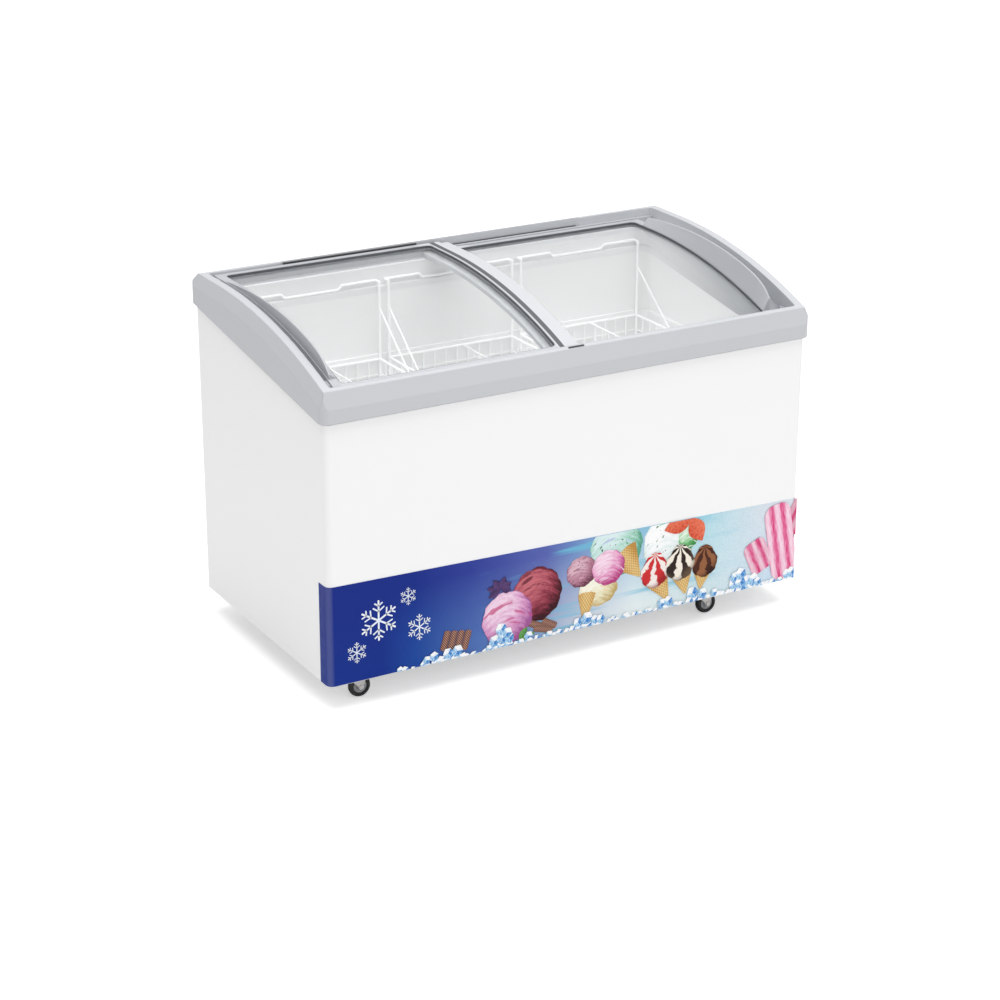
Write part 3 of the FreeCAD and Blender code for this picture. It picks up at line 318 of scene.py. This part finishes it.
def seal_dark():
    """Brush seal: dark pile that stands in rows."""
    return finish("brush_pile", srgb("3A3B3E"), 0.9, 1200, 0.2 * MM, 0.2, srgb("6A6B6F"), 0.4,
                  stretch=(1, 0.2, 0.2), Sheen_Weight=0.4)


def wire_white():
    """Glossy dipped coating, with a faint glow that stands in for light bounced about the well."""
    return finish("wire_coating", srgb("FCFCFC"), 0.33, 300, 0.03 * MM, 0.01, srgb("E4E5E6"), 0.3,
                  Coat_Weight=0.4, Coat_Roughness=0.15, Emission_Color=WHITE, Emission_Strength=0.12)


def black_paint():
    return finish("black_paint", srgb("1C1D1F"), 0.4, 220, 0.03 * MM, 0.1, srgb("55575A"), 0.6)


def motor_steel():
    return finish("motor_steel", srgb("8D9094"), 0.45, 120, 0.02 * MM, 0.1, srgb("C2C4C6"), 0.5, Metallic=0.8)


def dark_plastic():
    return finish("dark_plastic", srgb("26282B"), 0.5, SKIN_GRAIN, 0.03 * MM, 0.08, srgb("4B4D51"), 0.5,
                  0.6 * MM)


def white_plastic():
    return finish("white_plastic", srgb("E9EAEB"), 0.42, SKIN_GRAIN, 0.02 * MM, 0.02, srgb("CFD0D2"), 0.3,
                  0.8 * MM)


def rubber_black():
    return finish("rubber", srgb("1B1B1C"), 0.72, 600, 0.04 * MM, 0.15, srgb("3B3B3C"), 0.5)


def fork_zinc():
    """Pressed steel under bright, cloudy zinc."""
    return finish("zinc_plate", srgb("CFCBC8"), 0.36, 90, 0.02 * MM, 0.1, srgb("EDEBE8"), 0.6, 0.8 * MM,
                  Metallic=0.4)


def copper():
    """Drawn tube, brown where it has tarnished."""
    paint = Paint("copper_tube")
    tarnish = paint.spread(paint.noise(40.0, 4.0), 0.45, 0.7)
    return paint.set(
        Base_Color=paint.mix(tarnish, srgb("D98A5E"), srgb("8A4B33")),
        Metallic=1.0,
        Roughness=paint.spread(tarnish, 0, 1, 0.22, 0.5),
        Normal=paint.bump(paint.noise(500.0, 2.0), 0.02 * MM),
    )


def fin_aluminium():
    """Stacked fins: thin bright edges, with painted shade for the dark gaps between them."""
    pitch = 2.2 * MM
    paint = Paint("condenser_fins_painted_gap_shade")
    along = paint.parts(paint.place)[0]
    stripe = paint.maths("PINGPONG", paint.maths("DIVIDE", along, pitch), 0.5)
    edge = paint.spread(stripe, 0.1, 0.35)
    dust = paint.noise(60.0, 4.0)
    metal = paint.mix(dust, srgb("B9BCBF"), srgb("D8DADC"))
    # The dark colour between the fin edges is painted shade standing in for the gaps.
    return paint.set(
        Base_Color=paint.mix(edge, srgb("4A4C4F"), metal),
        Metallic=0.85,
        Roughness=paint.ranged(dust, 0.3, 0.5),
        Normal=paint.bump(edge, 0.3 * MM),
    )


def wheel_black():
    """Caster wheel: grey moulded hub inside a black tyre, told apart by the distance from the axle."""
    hub_share = 0.3
    middle = (0.5, 0.5, 0.5)
    paint = Paint("caster_wheel")
    spot = paint.vector("SUBTRACT", paint.add("ShaderNodeTexCoord").outputs["Generated"], middle)
    reach = paint.vector("LENGTH", paint.vector("MULTIPLY", spot, (1, 0, 1)))
    tyre = paint.spread(reach, hub_share, hub_share + 0.01)
    dust = paint.spread(paint.noise(120.0, 5.0), 0.4, 0.75)
    rubber = paint.mix(dust, srgb("18191A"), srgb("343434"))
    hub = paint.mix(dust, srgb("8F9194"), srgb("A9ABAE"))
    return paint.set(
        Base_Color=paint.mix(tyre, hub, rubber),
        Roughness=paint.spread(dust, 0, 1, 0.45, 0.75),
        Normal=paint.bump(paint.noise(700.0, 3.0), 0.05 * MM),
    )


def lid_glass():
    """Clear tempered glass. Lamps shine straight through it, so the well below is lit."""
    tint = srgb("FBFCFC")
    paint = Paint("clear_glass")
    smears = paint.spread(paint.noise(9.0, 4.0), 0.45, 0.8, 0.0, 0.035)
    paint.set(Base_Color=tint, Roughness=smears, IOR=1.48, Transmission_Weight=1.0)
    shadow = paint.add("ShaderNodeLightPath").outputs["Is Shadow Ray"]
    through = paint.add("ShaderNodeBsdfTransparent", tint).outputs[0]
    both = paint.add("ShaderNodeMixShader", shadow, paint.shader.outputs[0], through)
    output = paint.tree.nodes["Material Output"]
    paint.tree.links.new(both.outputs[0], output.inputs["Surface"])
    return paint.material


def film(paint, colour):
    """Ink on a satin film that is not quite flat."""
    ripple = paint.noise(14.0, 2.0)
    return paint.set(
        Base_Color=colour,
        Roughness=paint.ranged(paint.noise(60.0, 3.0), 0.34, 0.46),
        Normal=paint.bump(ripple, 0.1 * MM),
        Specular_IOR_Level=0.15,
    )


# Colours of the film's upper and lower edge, each with its share of the way from the left end.
SKY_HIGH = (
    (0.17, srgb("0B2885")),
    (0.3, srgb("2D3D96")),
    (0.44, srgb("5764AE")),
    (0.5, srgb("6987C1")),
    (0.6, srgb("8FB9DA")),
    (0.79, srgb("A8DAE5")),
    (0.93, srgb("D5DCE6")),
)
SKY_LOW = (
    (0.1, srgb("082D89")),
    (0.17, srgb("17489D")),
    (0.22, srgb("325BA7")),
    (0.36, srgb("5F7FBE")),
    (0.48, srgb("B8C2D8")),
    (0.63, srgb("E8F2F3")),
    (0.8, srgb("CEE4E9")),
    (1.0, srgb("C5DDF4")),
)


def print_background():
    """Cold sky of the printed film: royal blue, lilac, then icy light blue with turquoise streaks, and a
    painted highlight along its rounded left corner.
    """
    streak_stretch = (4, 1, 48)
    highlight_facing = (-0.707, -0.707, 0.0)
    paint = Paint("print_background")
    x, _, z = paint.parts(paint.place)
    along = paint.maths("DIVIDE", paint.maths("SUBTRACT", x, PRINT_LO.x), PRINT_WIDTH)
    up = paint.maths("DIVIDE", paint.maths("SUBTRACT", z, PRINT_LO.z), PRINT_HEIGHT)
    wobble = paint.spread(paint.noise(5.0, 3.0), 0.0, 1.0, -0.04, 0.04)
    at = paint.maths("ADD", along, wobble)
    sky = paint.mix(paint.spread(up, 0.1, 0.85), paint.ramp(at, *SKY_LOW), paint.ramp(at, *SKY_HIGH))
    streaks = paint.spread(paint.noise(1.0, 3.0, streak_stretch), 0.52, 0.68)
    window = paint.ramp(along, (0.3, BLACK), (0.48, WHITE), (0.72, shaded(WHITE, 0.7)), (0.9, BLACK))
    sky = paint.mix(paint.maths("MULTIPLY", streaks, window), sky, srgb("6FC0DA"))
    grains = paint.spread(paint.noise(420.0, 3.0), 0.35, 0.7)
    frost = paint.maths("MULTIPLY", paint.spread(along, 0.72, 0.85), grains)
    sky = paint.mix(paint.maths("MULTIPLY", frost, 0.4), sky, srgb("F4FAFF"))
    # Painted highlight: the film pales towards white where it bends round the front left corner.
    normal = paint.add("ShaderNodeNewGeometry").outputs["Normal"]
    bend = paint.spread(paint.vector("DOT_PRODUCT", normal, highlight_facing), 0.75, 1.0, 0.0, 0.07)
    return film(paint, paint.mix(bend, sky, WHITE))


# Finishes by slot. All but the print's are named after their slot.
FINISHES = {
    "print": print_background,
    **{make.__name__: make for make in (
        white_steel, liner_white, bare_steel, foam, frame_grey, collar_grey, track_grey, lid_grey, lid_clear,
        lid_glass, gasket_grey, seal_dark, wire_white, black_paint, motor_steel, dark_plastic, white_plastic,
        rubber_black, fork_zinc, copper, fin_aluminium, wheel_black)},
}


def dress_frame():
    """Gives every CAD node the finish of its slot. A slot's nodes share one material."""
    made = {}
    for part in frame["record"]["subparts"]:
        slot = part["material_slot"]
        if slot not in made:
            made[slot] = FINISHES[slot]()
        node = nodes[part["node"]]
        for spot in node.material_slots:
            spot.material = made[slot]


# ==== printed shapes ====


def film_top(x):
    """Height of the film's sloping top edge at x, from its two upper corners."""
    points = [v.co for v in nodes["graphic_panel"].data.vertices]
    left = max(p.z for p in points)
    right = max(p.z for p in points if p.x > PRINT_HI.x - MM)
    share = (x - PRINT_LO.x) / PRINT_WIDTH
    return left + (right - left) * share


class Print:
    """Printed shapes of one kind: thin closed plates in front of the film, cut off at its edges.

    layer and lift count how many times LAYER a shape stands in front of the film.
    """

    def __init__(self, name, layer):
        self.name = name
        self.layer = layer
        self.mesh = bmesh.new()
        self.art = self.mesh.verts.layers.float_vector.new("art")

    def add(self, outline, centre, unit, turn=0.0, tone=0.0, lift=0.0):
        """outline is in millimetres round centre; shaders see it in units of unit, unturned."""
        c, s = math.cos(math.radians(turn)), math.sin(math.radians(turn))
        corners = []
        for u, v in outline:
            x = (centre[0] + u * c - v * s) * MM
            z = PRINT_LO.z + (centre[1] + u * s + v * c) * MM
            corner = self.mesh.verts.new((x, PRINT_LO.y - (self.layer + lift) * LAYER, z))
            corner[self.art] = (u / unit, v / unit, tone)
            corners.append(corner)
        self.mesh.faces.new(corners)

    def cut(self):
        """Trims the shapes to the film's flat part. On the left it bends round the cabinet's corner."""
        left = Vector((PRINT_LO.x + BEND_MARGIN, 0, film_top(PRINT_LO.x) - RIM_MARGIN))
        right = Vector((PRINT_HI.x - END_MARGIN, 0, film_top(PRINT_HI.x) - RIM_MARGIN))
        slope = right - left
        edges = (
            (left, Vector((-slope.z, 0, slope.x))),
            (left, Vector((-1, 0, 0))),
            (right, Vector((1, 0, 0))),
            (Vector((0, 0, PRINT_LO.z + RIM_MARGIN)), Vector((0, 0, -1))),
        )
        for at, outward in edges:
            every = self.mesh.verts[:] + self.mesh.edges[:] + self.mesh.faces[:]
            bmesh.ops.bisect_plane(self.mesh, geom=every, plane_co=at, plane_no=outward, clear_outer=True)

    def done(self, material):
        """Trims the shapes, makes them INK thick and puts them on the cabinet."""
        self.cut()
        grown = bmesh.ops.extrude_face_region(self.mesh, geom=self.mesh.faces[:])
        moved = [g for g in grown["geom"] if isinstance(g, bmesh.types.BMVert)]
        bmesh.ops.translate(self.mesh, verts=moved, vec=(0, -INK, 0))
        bmesh.ops.recalc_face_normals(self.mesh, faces=self.mesh.faces[:])
        made = as_object(self.name, self.mesh, material)
        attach(made, "cabinet")


def as_object(name, mesh, material):
    """Makes an object from a bmesh whose points are already in the scene's metres."""
    data = bpy.data.meshes.new(name)
    mesh.to_mesh(data)
    mesh.free()
    made = bpy.data.objects.new(name, data)
    bpy.context.scene.collection.objects.link(made)
    data.materials.append(material)
    return made


# ---- outlines, in millimetres ----


def ball(radius, lumps=9, depth=0.04, seed=0.0, flat=1.0, peak=0.0):
    """A scoop: a circle with a soft ragged edge, drawn up to a peak if asked for."""
    steps = 56
    outline = []
    for k in range(steps):
        a = math.tau * k / steps
        ragged = math.sin(lumps * a + seed) + 0.6 * math.sin((lumps * 2 + 1) * a + 2.3 * seed)
        r = radius * (1 + depth * 0.6 * ragged + peak * max(0.0, math.sin(a)) ** 8)
        outline.append((r * math.cos(a), r * flat * math.sin(a)))
    return outline


def cone(top, length, tip=3.0):
    """A wafer cone that hangs down from the origin."""
    rim = top * 0.1
    return [(-top / 2, 0), (-tip, -length), (tip, -length), (top / 2, 0), (top / 4, rim), (-top / 4, rim)]


def bar(width, length, corner):
    """A lolly or wafer: a long shape with rounded corners."""
    steps = 6
    outline = []
    for cx, cy, start in ((1, 1, 0), (-1, 1, 90), (-1, -1, 180), (1, -1, 270)):
        for k in range(steps + 1):
            a = math.radians(start + 90 * k / steps)
            outline.append((cx * (width / 2 - corner) + corner * math.cos(a),
                            cy * (length / 2 - corner) + corner * math.sin(a)))
    return outline


def leaf(length, width):
    """A leaf or berry: pointed at both ends, along u from the origin."""
    steps = 12
    upper = [(length * k / steps, width / 2 * math.sin(math.pi * k / steps)) for k in range(steps + 1)]
    lower = [(x, -y) for x, y in reversed(upper[1:-1])]
    return upper + lower


# ---- inks ----


def art_parts(paint):
    """A printed shape's own coordinates: the vector, and its parts u, v and tone."""
    node = paint.add("ShaderNodeAttribute", attribute_name="art")
    return node.outputs["Vector"], paint.parts(node.outputs["Vector"])


def lit_ball(paint, art, u, v):
    """How light falls on a ball drawn in the unit circle, from the upper left."""
    from_left, from_above, from_front, all_round = 0.32, 0.42, 0.6, 0.18
    flat = paint.vector("LENGTH", paint.vector("MULTIPLY", art, (1, 1, 0)))
    depth = paint.maths("SQRT", paint.maths("SUBTRACT", 1.0, paint.maths("POWER", flat, 2.0), clamp=True))
    side = paint.maths("MULTIPLY_ADD", u, -from_left, paint.maths("MULTIPLY", v, from_above))
    return paint.maths("MULTIPLY_ADD", depth, from_front, paint.maths("ADD", side, all_round))


def scoop_ink(name, dark, tint, light, streak=None, share=0.6, chips=None):
    """Scooped ice cream: curved ridges, soft shading, and streaks or chips of another flavour.

    The larger share is, the fewer streaks there are.
    """
    bow = 0.5
    ridge_stretch = (2.2, 9.0, 7.0)
    streak_stretch = (1.2, 4.5, 3.0)
    paint = Paint(name)
    art, (u, v, seed) = art_parts(paint)
    bowed = paint.maths("MULTIPLY_ADD", paint.maths("POWER", paint.maths("ABSOLUTE", u), 2.0), bow, v)
    swept = paint.joined(u, bowed, seed)
    ridges = paint.noise(1.0, 5.0, ridge_stretch, swept)
    crumbs = paint.noise(11.0, 4.0, place=swept)
    shade = paint.maths("ADD", lit_ball(paint, art, u, v), paint.ranged(ridges, -0.22, 0.22))
    shade = paint.maths("ADD", shade, paint.ranged(crumbs, -0.08, 0.08))
    colour = paint.ramp(shade, (0.1, dark), (0.55, tint), (0.95, light))
    if streak is not None:
        swirl = paint.noise(1.0, 3.0, streak_stretch, swept)
        colour = paint.mix(paint.spread(swirl, share, share + 0.06, 0.0, 0.8), colour, streak)
    if chips is not None:
        flecks = paint.noise(9.0, 1.0, place=swept)
        colour = paint.mix(paint.spread(flecks, 0.68, 0.7), colour, chips)
    return film(paint, colour)


def swirl_ink(name, first, second, shadow):
    """Whipped cream top: stripes that fan out from the peak."""
    peak = 1.15
    stripes = 9.0
    paint = Paint(name)
    art, (u, v, _) = art_parts(paint)
    angle = paint.maths("ARCTAN2", u, paint.maths("SUBTRACT", peak, v))
    bend = paint.maths("MULTIPLY", paint.noise(2.2, 3.0, place=art), 5.0)
    fan = paint.maths("SINE", paint.maths("MULTIPLY_ADD", angle, stripes, bend))
    light = paint.maths("ADD", lit_ball(paint, art, u, v), paint.maths("MULTIPLY", fan, 0.12))
    colour = paint.mix(paint.spread(fan, -0.15, 0.25), first, second)
    colour = paint.mix(paint.spread(light, 0.5, 0.05, 0.0, 0.75), colour, shadow)
    return film(paint, colour)


def waffle_ink():
    """Baked cone: crossed ridges, darker at the sides."""
    steepness = 1.3
    slant = 0.9
    grooves = 7.0
    paint = Paint("print_waffle")
    _, (u, v, _) = art_parts(paint)
    lines = []
    for lean in (slant, -slant):
        across = paint.maths("MULTIPLY_ADD", v, lean, paint.maths("MULTIPLY", u, steepness))
        lines.append(paint.maths("PINGPONG", paint.maths("MULTIPLY", across, grooves), 0.5))
    groove = paint.spread(paint.maths("MINIMUM", *lines), 0.04, 0.16)
    side = paint.spread(paint.maths("ABSOLUTE", u), 0.1, 0.5, 1.0, 0.6)
    shade = paint.maths("MULTIPLY", side, paint.spread(groove, 0, 1, 0.55, 1.0))
    baked = paint.noise(3.0, 3.0)
    colour = paint.ramp(shade, (0.25, srgb("8A5A22")), (0.65, srgb("D0A052")), (1.0, srgb("F0D79A")))
    return film(paint, paint.mix(paint.ranged(baked, 0.0, 0.3), colour, srgb("C98F45")))


def lolly_ink():
    """Fruit ice: two deep pink grooves between pale ribs, frosted all over. tone deepens the pink."""
    rib_turn = 15.7
    frost_stretch = (18, 3, 4)
    paint = Paint("print_lolly")
    art, (u, _, tone) = art_parts(paint)
    rib = paint.maths("COSINE", paint.maths("MULTIPLY", u, rib_turn))
    frost = paint.noise(1.0, 5.0, frost_stretch, art)
    shade = paint.maths("MULTIPLY_ADD", rib, 0.3, paint.ranged(frost, 0.35, 0.75))
    colour = paint.ramp(shade, (0.15, srgb("D83A74")), (0.4, srgb("E880AA")), (0.6, srgb("F2B4CE")),
                        (0.95, srgb("FBE2EC")))
    return film(paint, paint.mix(tone, colour, srgb("B01E50")))


def ice_ink():
    """Ice cubes: each face has its own tone, broken up by cracks."""
    crack_stretch = (3, 3, 23)
    paint = Paint("print_ice")
    art, (_, _, tone) = art_parts(paint)
    cracks = paint.noise(1.0, 4.0, crack_stretch, art)
    shade = paint.maths("ADD", tone, paint.ranged(cracks, -0.2, 0.2))
    return film(paint, paint.ramp(shade, (0.0, srgb("1B52A6")), (0.25, srgb("4388CF")), (0.5, srgb("A6D2F0")),
                                  (0.75, srgb("FFFFFF"))))


def plain_ink(name, dark, light, scale=6.0):
    """A small printed thing with soft light and shade."""
    paint = Paint(name)
    art, (_, v, _) = art_parts(paint)
    blotch = paint.noise(scale, 4.0, place=art)
    shade = paint.maths("ADD", paint.spread(v, -0.6, 0.6, 0.0, 0.5), paint.ranged(blotch, 0.0, 0.5))
    return film(paint, paint.ramp(shade, (0.1, dark), (0.9, light)))


def wafer_ink():
    """Rolled wafer: slanting brown stripes on a pale roll, darker at the sides."""
    slant = 0.7
    stripe_turn = 22.0
    paint = Paint("print_wafer")
    _, (u, v, _) = art_parts(paint)
    across = paint.maths("MULTIPLY_ADD", u, slant, v)
    stripe = paint.maths("SINE", paint.maths("MULTIPLY", across, stripe_turn))
    roll = paint.spread(paint.maths("ABSOLUTE", u), 0.0, 0.5, 1.0, 0.55)
    colour = paint.mix(paint.spread(stripe, -0.2, 0.3), srgb("5A2C22"), srgb("C79A86"))
    return film(paint, paint.mix(roll, shaded(srgb("4A2A28"), 0.6), colour))


# ---- the picture: millimetres to the right of the freezer's middle and up from the film's foot ----

SCOOPS = (
    # name, layer, centre, radius, flat, seed, ink
    ("print_mint_left", 2, (108, 172), 67, 1.0, 0.4,
     (srgb("5FA58A"), srgb("A9D8C6"), srgb("DCEFF0"), srgb("B4C2E2"), 0.6, srgb("4A7A5E"))),
    ("print_mint_right", 3.4, (247, 158), 68, 1.05, 2.1,
     (srgb("A9C6C0"), srgb("E4EFEE"), srgb("FFFFFF"), srgb("A5D2B0"), 0.62, srgb("5F8F68"))),
    ("print_pistachio", 4.2, (298, 162), 27, 1.15, 1.7,
     (srgb("3F8F4A"), srgb("86C98A"), srgb("DDF2DC"), srgb("F2FAF0"), 0.56, None)),
    ("print_vanilla", 4.8, (62, 84), 50, 0.8, 3.0,
     (srgb("C2A76A"), srgb("EAE2BC"), srgb("FBF9E8"), srgb("F0D2A8"), 0.6, None)),
    ("print_mauve", 6, (19, 134), 38, 0.95, 1.2,
     (srgb("6E3E50"), srgb("B47A90"), srgb("DDB5C3"), srgb("8E5468"), 0.6, srgb("6B3C4A"))),
    ("print_rose", 7, (88, 130), 42, 0.98, 5.0,
     (srgb("B5427F"), srgb("E493C0"), srgb("F9DCEC"), srgb("F8E6F1"), 0.6, None)),
    ("print_berry", 8, (-94, 105), 62, 1.02, 0.9,
     (srgb("3A0F1A"), srgb("94394B"), srgb("C96B76"), srgb("5A1828"), 0.57, None)),
    ("print_raspberry", 13, (-168, 66), 62, 1.0, 4.0,
     (srgb("A25A98"), srgb("DB9CC8"), srgb("F3D4E8"), srgb("C8487F"), 0.58, None)),
)

SWIRLS = (
    # name, layer, centre, radius, inks
    ("print_swirl_berry", 12, (210, 93), 37, (srgb("CE2C30"), srgb("F7EDE8"), srgb("8A1A1E"))),
    ("print_swirl_cocoa", 12.8, (343, 89), 34, (srgb("4A2416"), srgb("96603E"), srgb("241008"))),
    ("print_swirl_cream", 14, (277, 98), 38, (srgb("2B1D18"), srgb("F6EEE0"), srgb("6A5644"))),
)

CONE_GRID = 62.0
CONES = (
    # layer, top centre, turn, top width, length
    (3, (124, 152), 38, 84, 76),
    (5.5, (33, 78), -4, 46, 72),
    (11, (216, 76), 28, 60, 64),
    (11.8, (339, 76), -8, 56, 48),
    (13.4, (281, 78), 12, 58, 54),
)

STRAWBERRY_WIDTH = 44
STRAWBERRIES = (
    # x, z, turn, length
    (232, 188, 12, 78),
    (302, 206, -62, 70),
)

LEAF_WIDTH = 17
LEAF_STEP = 0.7
MINT_LENGTH = 34
MINT = (
    # x, z, turn
    (-140, 8, 50),
    (-132, 6, 20),
)

GARNISH_AT = (-184, 136)
GARNISH_LENGTH = 36
GARNISH_SHRINK = 2
GARNISH_TURNS = (168, 205, 128, 70, 25, -12)

WAFER_WIDTH = 16
WAFER_CORNER = 5
WAFERS = (
    # x, z, turn, length
    *((-320 + 17 * k, 46 - 3 * k, -16, 46) for k in range(4)),
    (-92, 32, 66, 50),
    (-78, 20, 74, 50),
    (-62, 30, 60, 40),
)

LOLLIES = (
    # lift, centre, turn, width, length, corner, tone
    (0, (602, 160), -28, 60, 104, 18, 0.4),
    (2, (490, 75), 24, 61, 82, 16, 0.15),
    (4, (552, 99), 10, 72, 188, 26, 0.0),
)

ICE_SEED = 11
ICE_START = -430.0
ICE_END = 600
ICE_DEPTH = 5
ICE_LAYERS = 6
ICE_STEP = 0.37
CUBE_SIZE = (8, 12)
CUBE_GAP = (9, 21)
CUBE_RISE = 1.25
CUBE_SHIFT = (5, 3)
CUBE_TURN = 40
HEAP_GROWTH = 0.16
HEAP_SPREAD = 22
HEAPS = (
    # x, height
    (-352, 16), (-300, 20), (-180, 42), (-120, 10), (36, 34), (62, 20),
    (243, 16), (320, 36), (372, 14), (438, 42), (476, 36), (592, 22),
)

TWIG_LEAN = 55
TWIGS = (
    # place along the arm and length, as shares of the arm
    (0.45, 0.36),
    (0.72, 0.26),
)
SNOWFLAKES = (
    # centre, arm
    ((-478, 128), 46),
    ((-382, 92), 30),
    ((-408, 168), 20),
    ((-530, 66), 24),
)


def print_scoops():
    for name, layer, centre, radius, flat, seed, ink in SCOOPS:
        shape = Print(name, layer)
        shape.add(ball(radius, seed=seed, flat=flat), centre, radius, tone=seed)
        shape.done(scoop_ink(name, *ink))


def print_swirls():
    for name, layer, centre, radius, inks in SWIRLS:
        shape = Print(name, layer)
        shape.add(ball(radius, 7, 0.05, layer, peak=0.3), centre, radius, tone=layer)
        shape.done(swirl_ink(name, *inks))


def print_cones():
    shape = Print("print_cones", 0)
    for layer, top, turn, width, length in CONES:
        shape.add(cone(width, length), top, CONE_GRID, turn, lift=layer)
    shape.done(waffle_ink())


def print_strawberries():
    shape = Print("print_strawberries", 15)
    for k, (x, z, turn, length) in enumerate(STRAWBERRIES):
        shape.add(leaf(length, STRAWBERRY_WIDTH), (x, z), STRAWBERRY_WIDTH, turn, lift=k)
    shape.done(plain_ink("print_strawberry", srgb("C83018"), srgb("F58A68"), 7.0))


def print_leaves():
    """Mint at the foot of the picture."""
    shape = Print("print_leaves", 19)
    for k, (x, z, turn) in enumerate(MINT):
        shape.add(leaf(MINT_LENGTH, LEAF_WIDTH), (x, z), LEAF_WIDTH, turn, lift=k * LEAF_STEP)
    shape.done(plain_ink("print_leaf", srgb("1F5A22"), srgb("7FC06A")))


def print_garnish():
    """Dark leaves that fan out from the top of the raspberry scoop, each a little shorter."""
    shape = Print("print_garnish", 15)
    for k, turn in enumerate(GARNISH_TURNS):
        outline = leaf(GARNISH_LENGTH - GARNISH_SHRINK * k, LEAF_WIDTH)
        shape.add(outline, GARNISH_AT, LEAF_WIDTH, turn, lift=k * LEAF_STEP)
    shape.done(plain_ink("print_cocoa_flower", srgb("24163C"), srgb("6A4C84")))


def print_wafers():
    shape = Print("print_wafers", 9)
    for k, (x, z, turn, length) in enumerate(WAFERS):
        shape.add(bar(WAFER_WIDTH, length, WAFER_CORNER), (x, z), WAFER_WIDTH, turn, lift=k * 0.5)
    shape.done(wafer_ink())


def print_lollies():
    shape = Print("print_lollies", 12)
    for lift, centre, turn, width, length, corner, tone in LOLLIES:
        shape.add(bar(width, length, corner), centre, width, turn, tone, lift)
    shape.done(lolly_ink())


def ice_cube(shape, centre, size, turn, lift):
    """Three faces of a cube seen from above, each with its own tone."""
    half = size * 0.8
    near, far = 0.45 * size, 0.55 * size
    top = [(0, 0), (-half, near), (0, far + near), (half, near)]
    left = [(0, 0), (-half, near), (-half, near - size), (0, -size)]
    right = [(0, 0), (0, -size), (half, near - size), (half, near)]
    for outline, tone in ((top, 0.8), (left, 0.55), (right, 0.28)):
        shape.add(outline, centre, size, turn, tone, lift)


def print_ice():
    """A low drift of cubes along the foot, with larger ones in each of the HEAPS."""
    draw = random.Random(ICE_SEED)
    shape = Print("print_ice", 20)
    x = ICE_START
    lift = 0.0
    while x < ICE_END:
        pile = max(height * math.exp(-((x - at) / HEAP_SPREAD) ** 2) for at, height in HEAPS)
        size = draw.uniform(*CUBE_SIZE) + HEAP_GROWTH * pile
        z = 0.0
        while z < ICE_DEPTH + pile:
            spot = [middle + draw.uniform(-shift, shift) for middle, shift in zip((x, z), CUBE_SHIFT)]
            ice_cube(shape, spot, size, draw.uniform(-CUBE_TURN, CUBE_TURN), lift)
            lift = (lift + ICE_STEP) % ICE_LAYERS
            z += size * CUBE_RISE
        x += draw.uniform(*CUBE_GAP)
    shape.done(ice_ink())


def beyond(point, distance, turn):
    """The point at a distance from another, in the direction turn."""
    x, z = point
    return x + distance * math.cos(math.radians(turn)), z + distance * math.sin(math.radians(turn))


def snowflake(shape, centre, arm):
    """A crystal with six arms, and twigs on both sides of each arm."""
    arms = 6
    thick = arm * 0.09
    for k in range(arms):
        turn = 360 / arms * k + 30
        lift = 0.1 * k
        shape.add(bar(thick, arm, thick * 0.4), beyond(centre, arm / 2, turn), arm, turn - 90, lift=lift)
        for share, length in TWIGS:
            root = beyond(centre, arm * share, turn)
            twig = bar(thick * 0.8, arm * length, thick * 0.3)
            for lean in (-TWIG_LEAN, TWIG_LEAN):
                middle = beyond(root, arm * length / 2, turn + lean)
                shape.add(twig, middle, arm, turn + lean - 90, lift=lift)


def print_snowflakes():
    """Plain white snow crystals on the dark end of the film."""
    shape = Print("print_snowflakes", 3)
    for centre, arm in SNOWFLAKES:
        snowflake(shape, centre, arm)
    shape.done(plain_ink("print_snow", srgb("D9E6FA"), WHITE, 2.0))


def print_picture():
    print_scoops()
    print_cones()
    print_swirls()
    print_strawberries()
    print_leaves()
    print_garnish()
    print_wafers()
    print_lollies()
    print_ice()
    print_snowflakes()


# ==== studio ====


def floor_paint():
    """Matt white floor. Its glow is for the camera alone and lights nothing."""
    paint = Paint("floor_paint")
    cloud = paint.noise(1.0)
    seen = paint.add("ShaderNodeLightPath").outputs["Is Camera Ray"]
    return paint.set(
        Base_Color=paint.mix(cloud, shaded(WHITE, 0.92), shaded(WHITE, 0.94)),
        Roughness=paint.ranged(cloud, 0.75, 0.85),
        Emission_Color=WHITE,
        Emission_Strength=paint.maths("MULTIPLY", seen, FLOOR_GLOW),
    )


def floor():
    mesh = bmesh.new()
    bmesh.ops.create_grid(mesh, x_segments=4, y_segments=4, size=FLOOR_SIZE / 2)
    as_object("studio_floor", mesh, floor_paint())


def lamp(name, at, size, power):
    """A rectangular lamp that faces the freezer."""
    data = bpy.data.lights.new(name, "AREA")
    data.shape = "RECTANGLE"
    data.size, data.size_y = size
    data.energy = power
    made = bpy.data.objects.new(name, data)
    made.location = at
    made.rotation_euler = (Vector(LAMP_AIM) - Vector(at)).to_track_quat("-Z", "Y").to_euler()
    bpy.context.scene.collection.objects.link(made)


def studio():
    world = bpy.data.worlds.new("studio")
    bpy.context.scene.world = world
    world.use_nodes = True
    background = world.node_tree.nodes["Background"]
    background.inputs["Color"].default_value = (*WHITE, 1)
    background.inputs["Strength"].default_value = WORLD_LIGHT
    for settings in LAMPS:
        lamp(*settings)
    bpy.context.scene.view_settings.view_transform = "Standard"
    floor()


def camera():
    data = bpy.data.cameras.new("camera")
    data.lens = CAMERA_LENS
    data.clip_end = CAMERA_REACH
    made = bpy.data.objects.new("camera", data)
    heading = Matrix.Rotation(math.radians(-CAMERA_YAW), 4, "Z")
    tilt = Matrix.Rotation(math.radians(90 - CAMERA_PITCH), 4, "X")
    roll = Matrix.Rotation(math.radians(CAMERA_ROLL), 4, "Z")
    made.matrix_world = Matrix.Translation(CAMERA_AT) @ heading @ tilt @ roll
    bpy.context.scene.collection.objects.link(made)
    bpy.context.scene.camera = made


dress_frame()
print_picture()
studio()
camera()
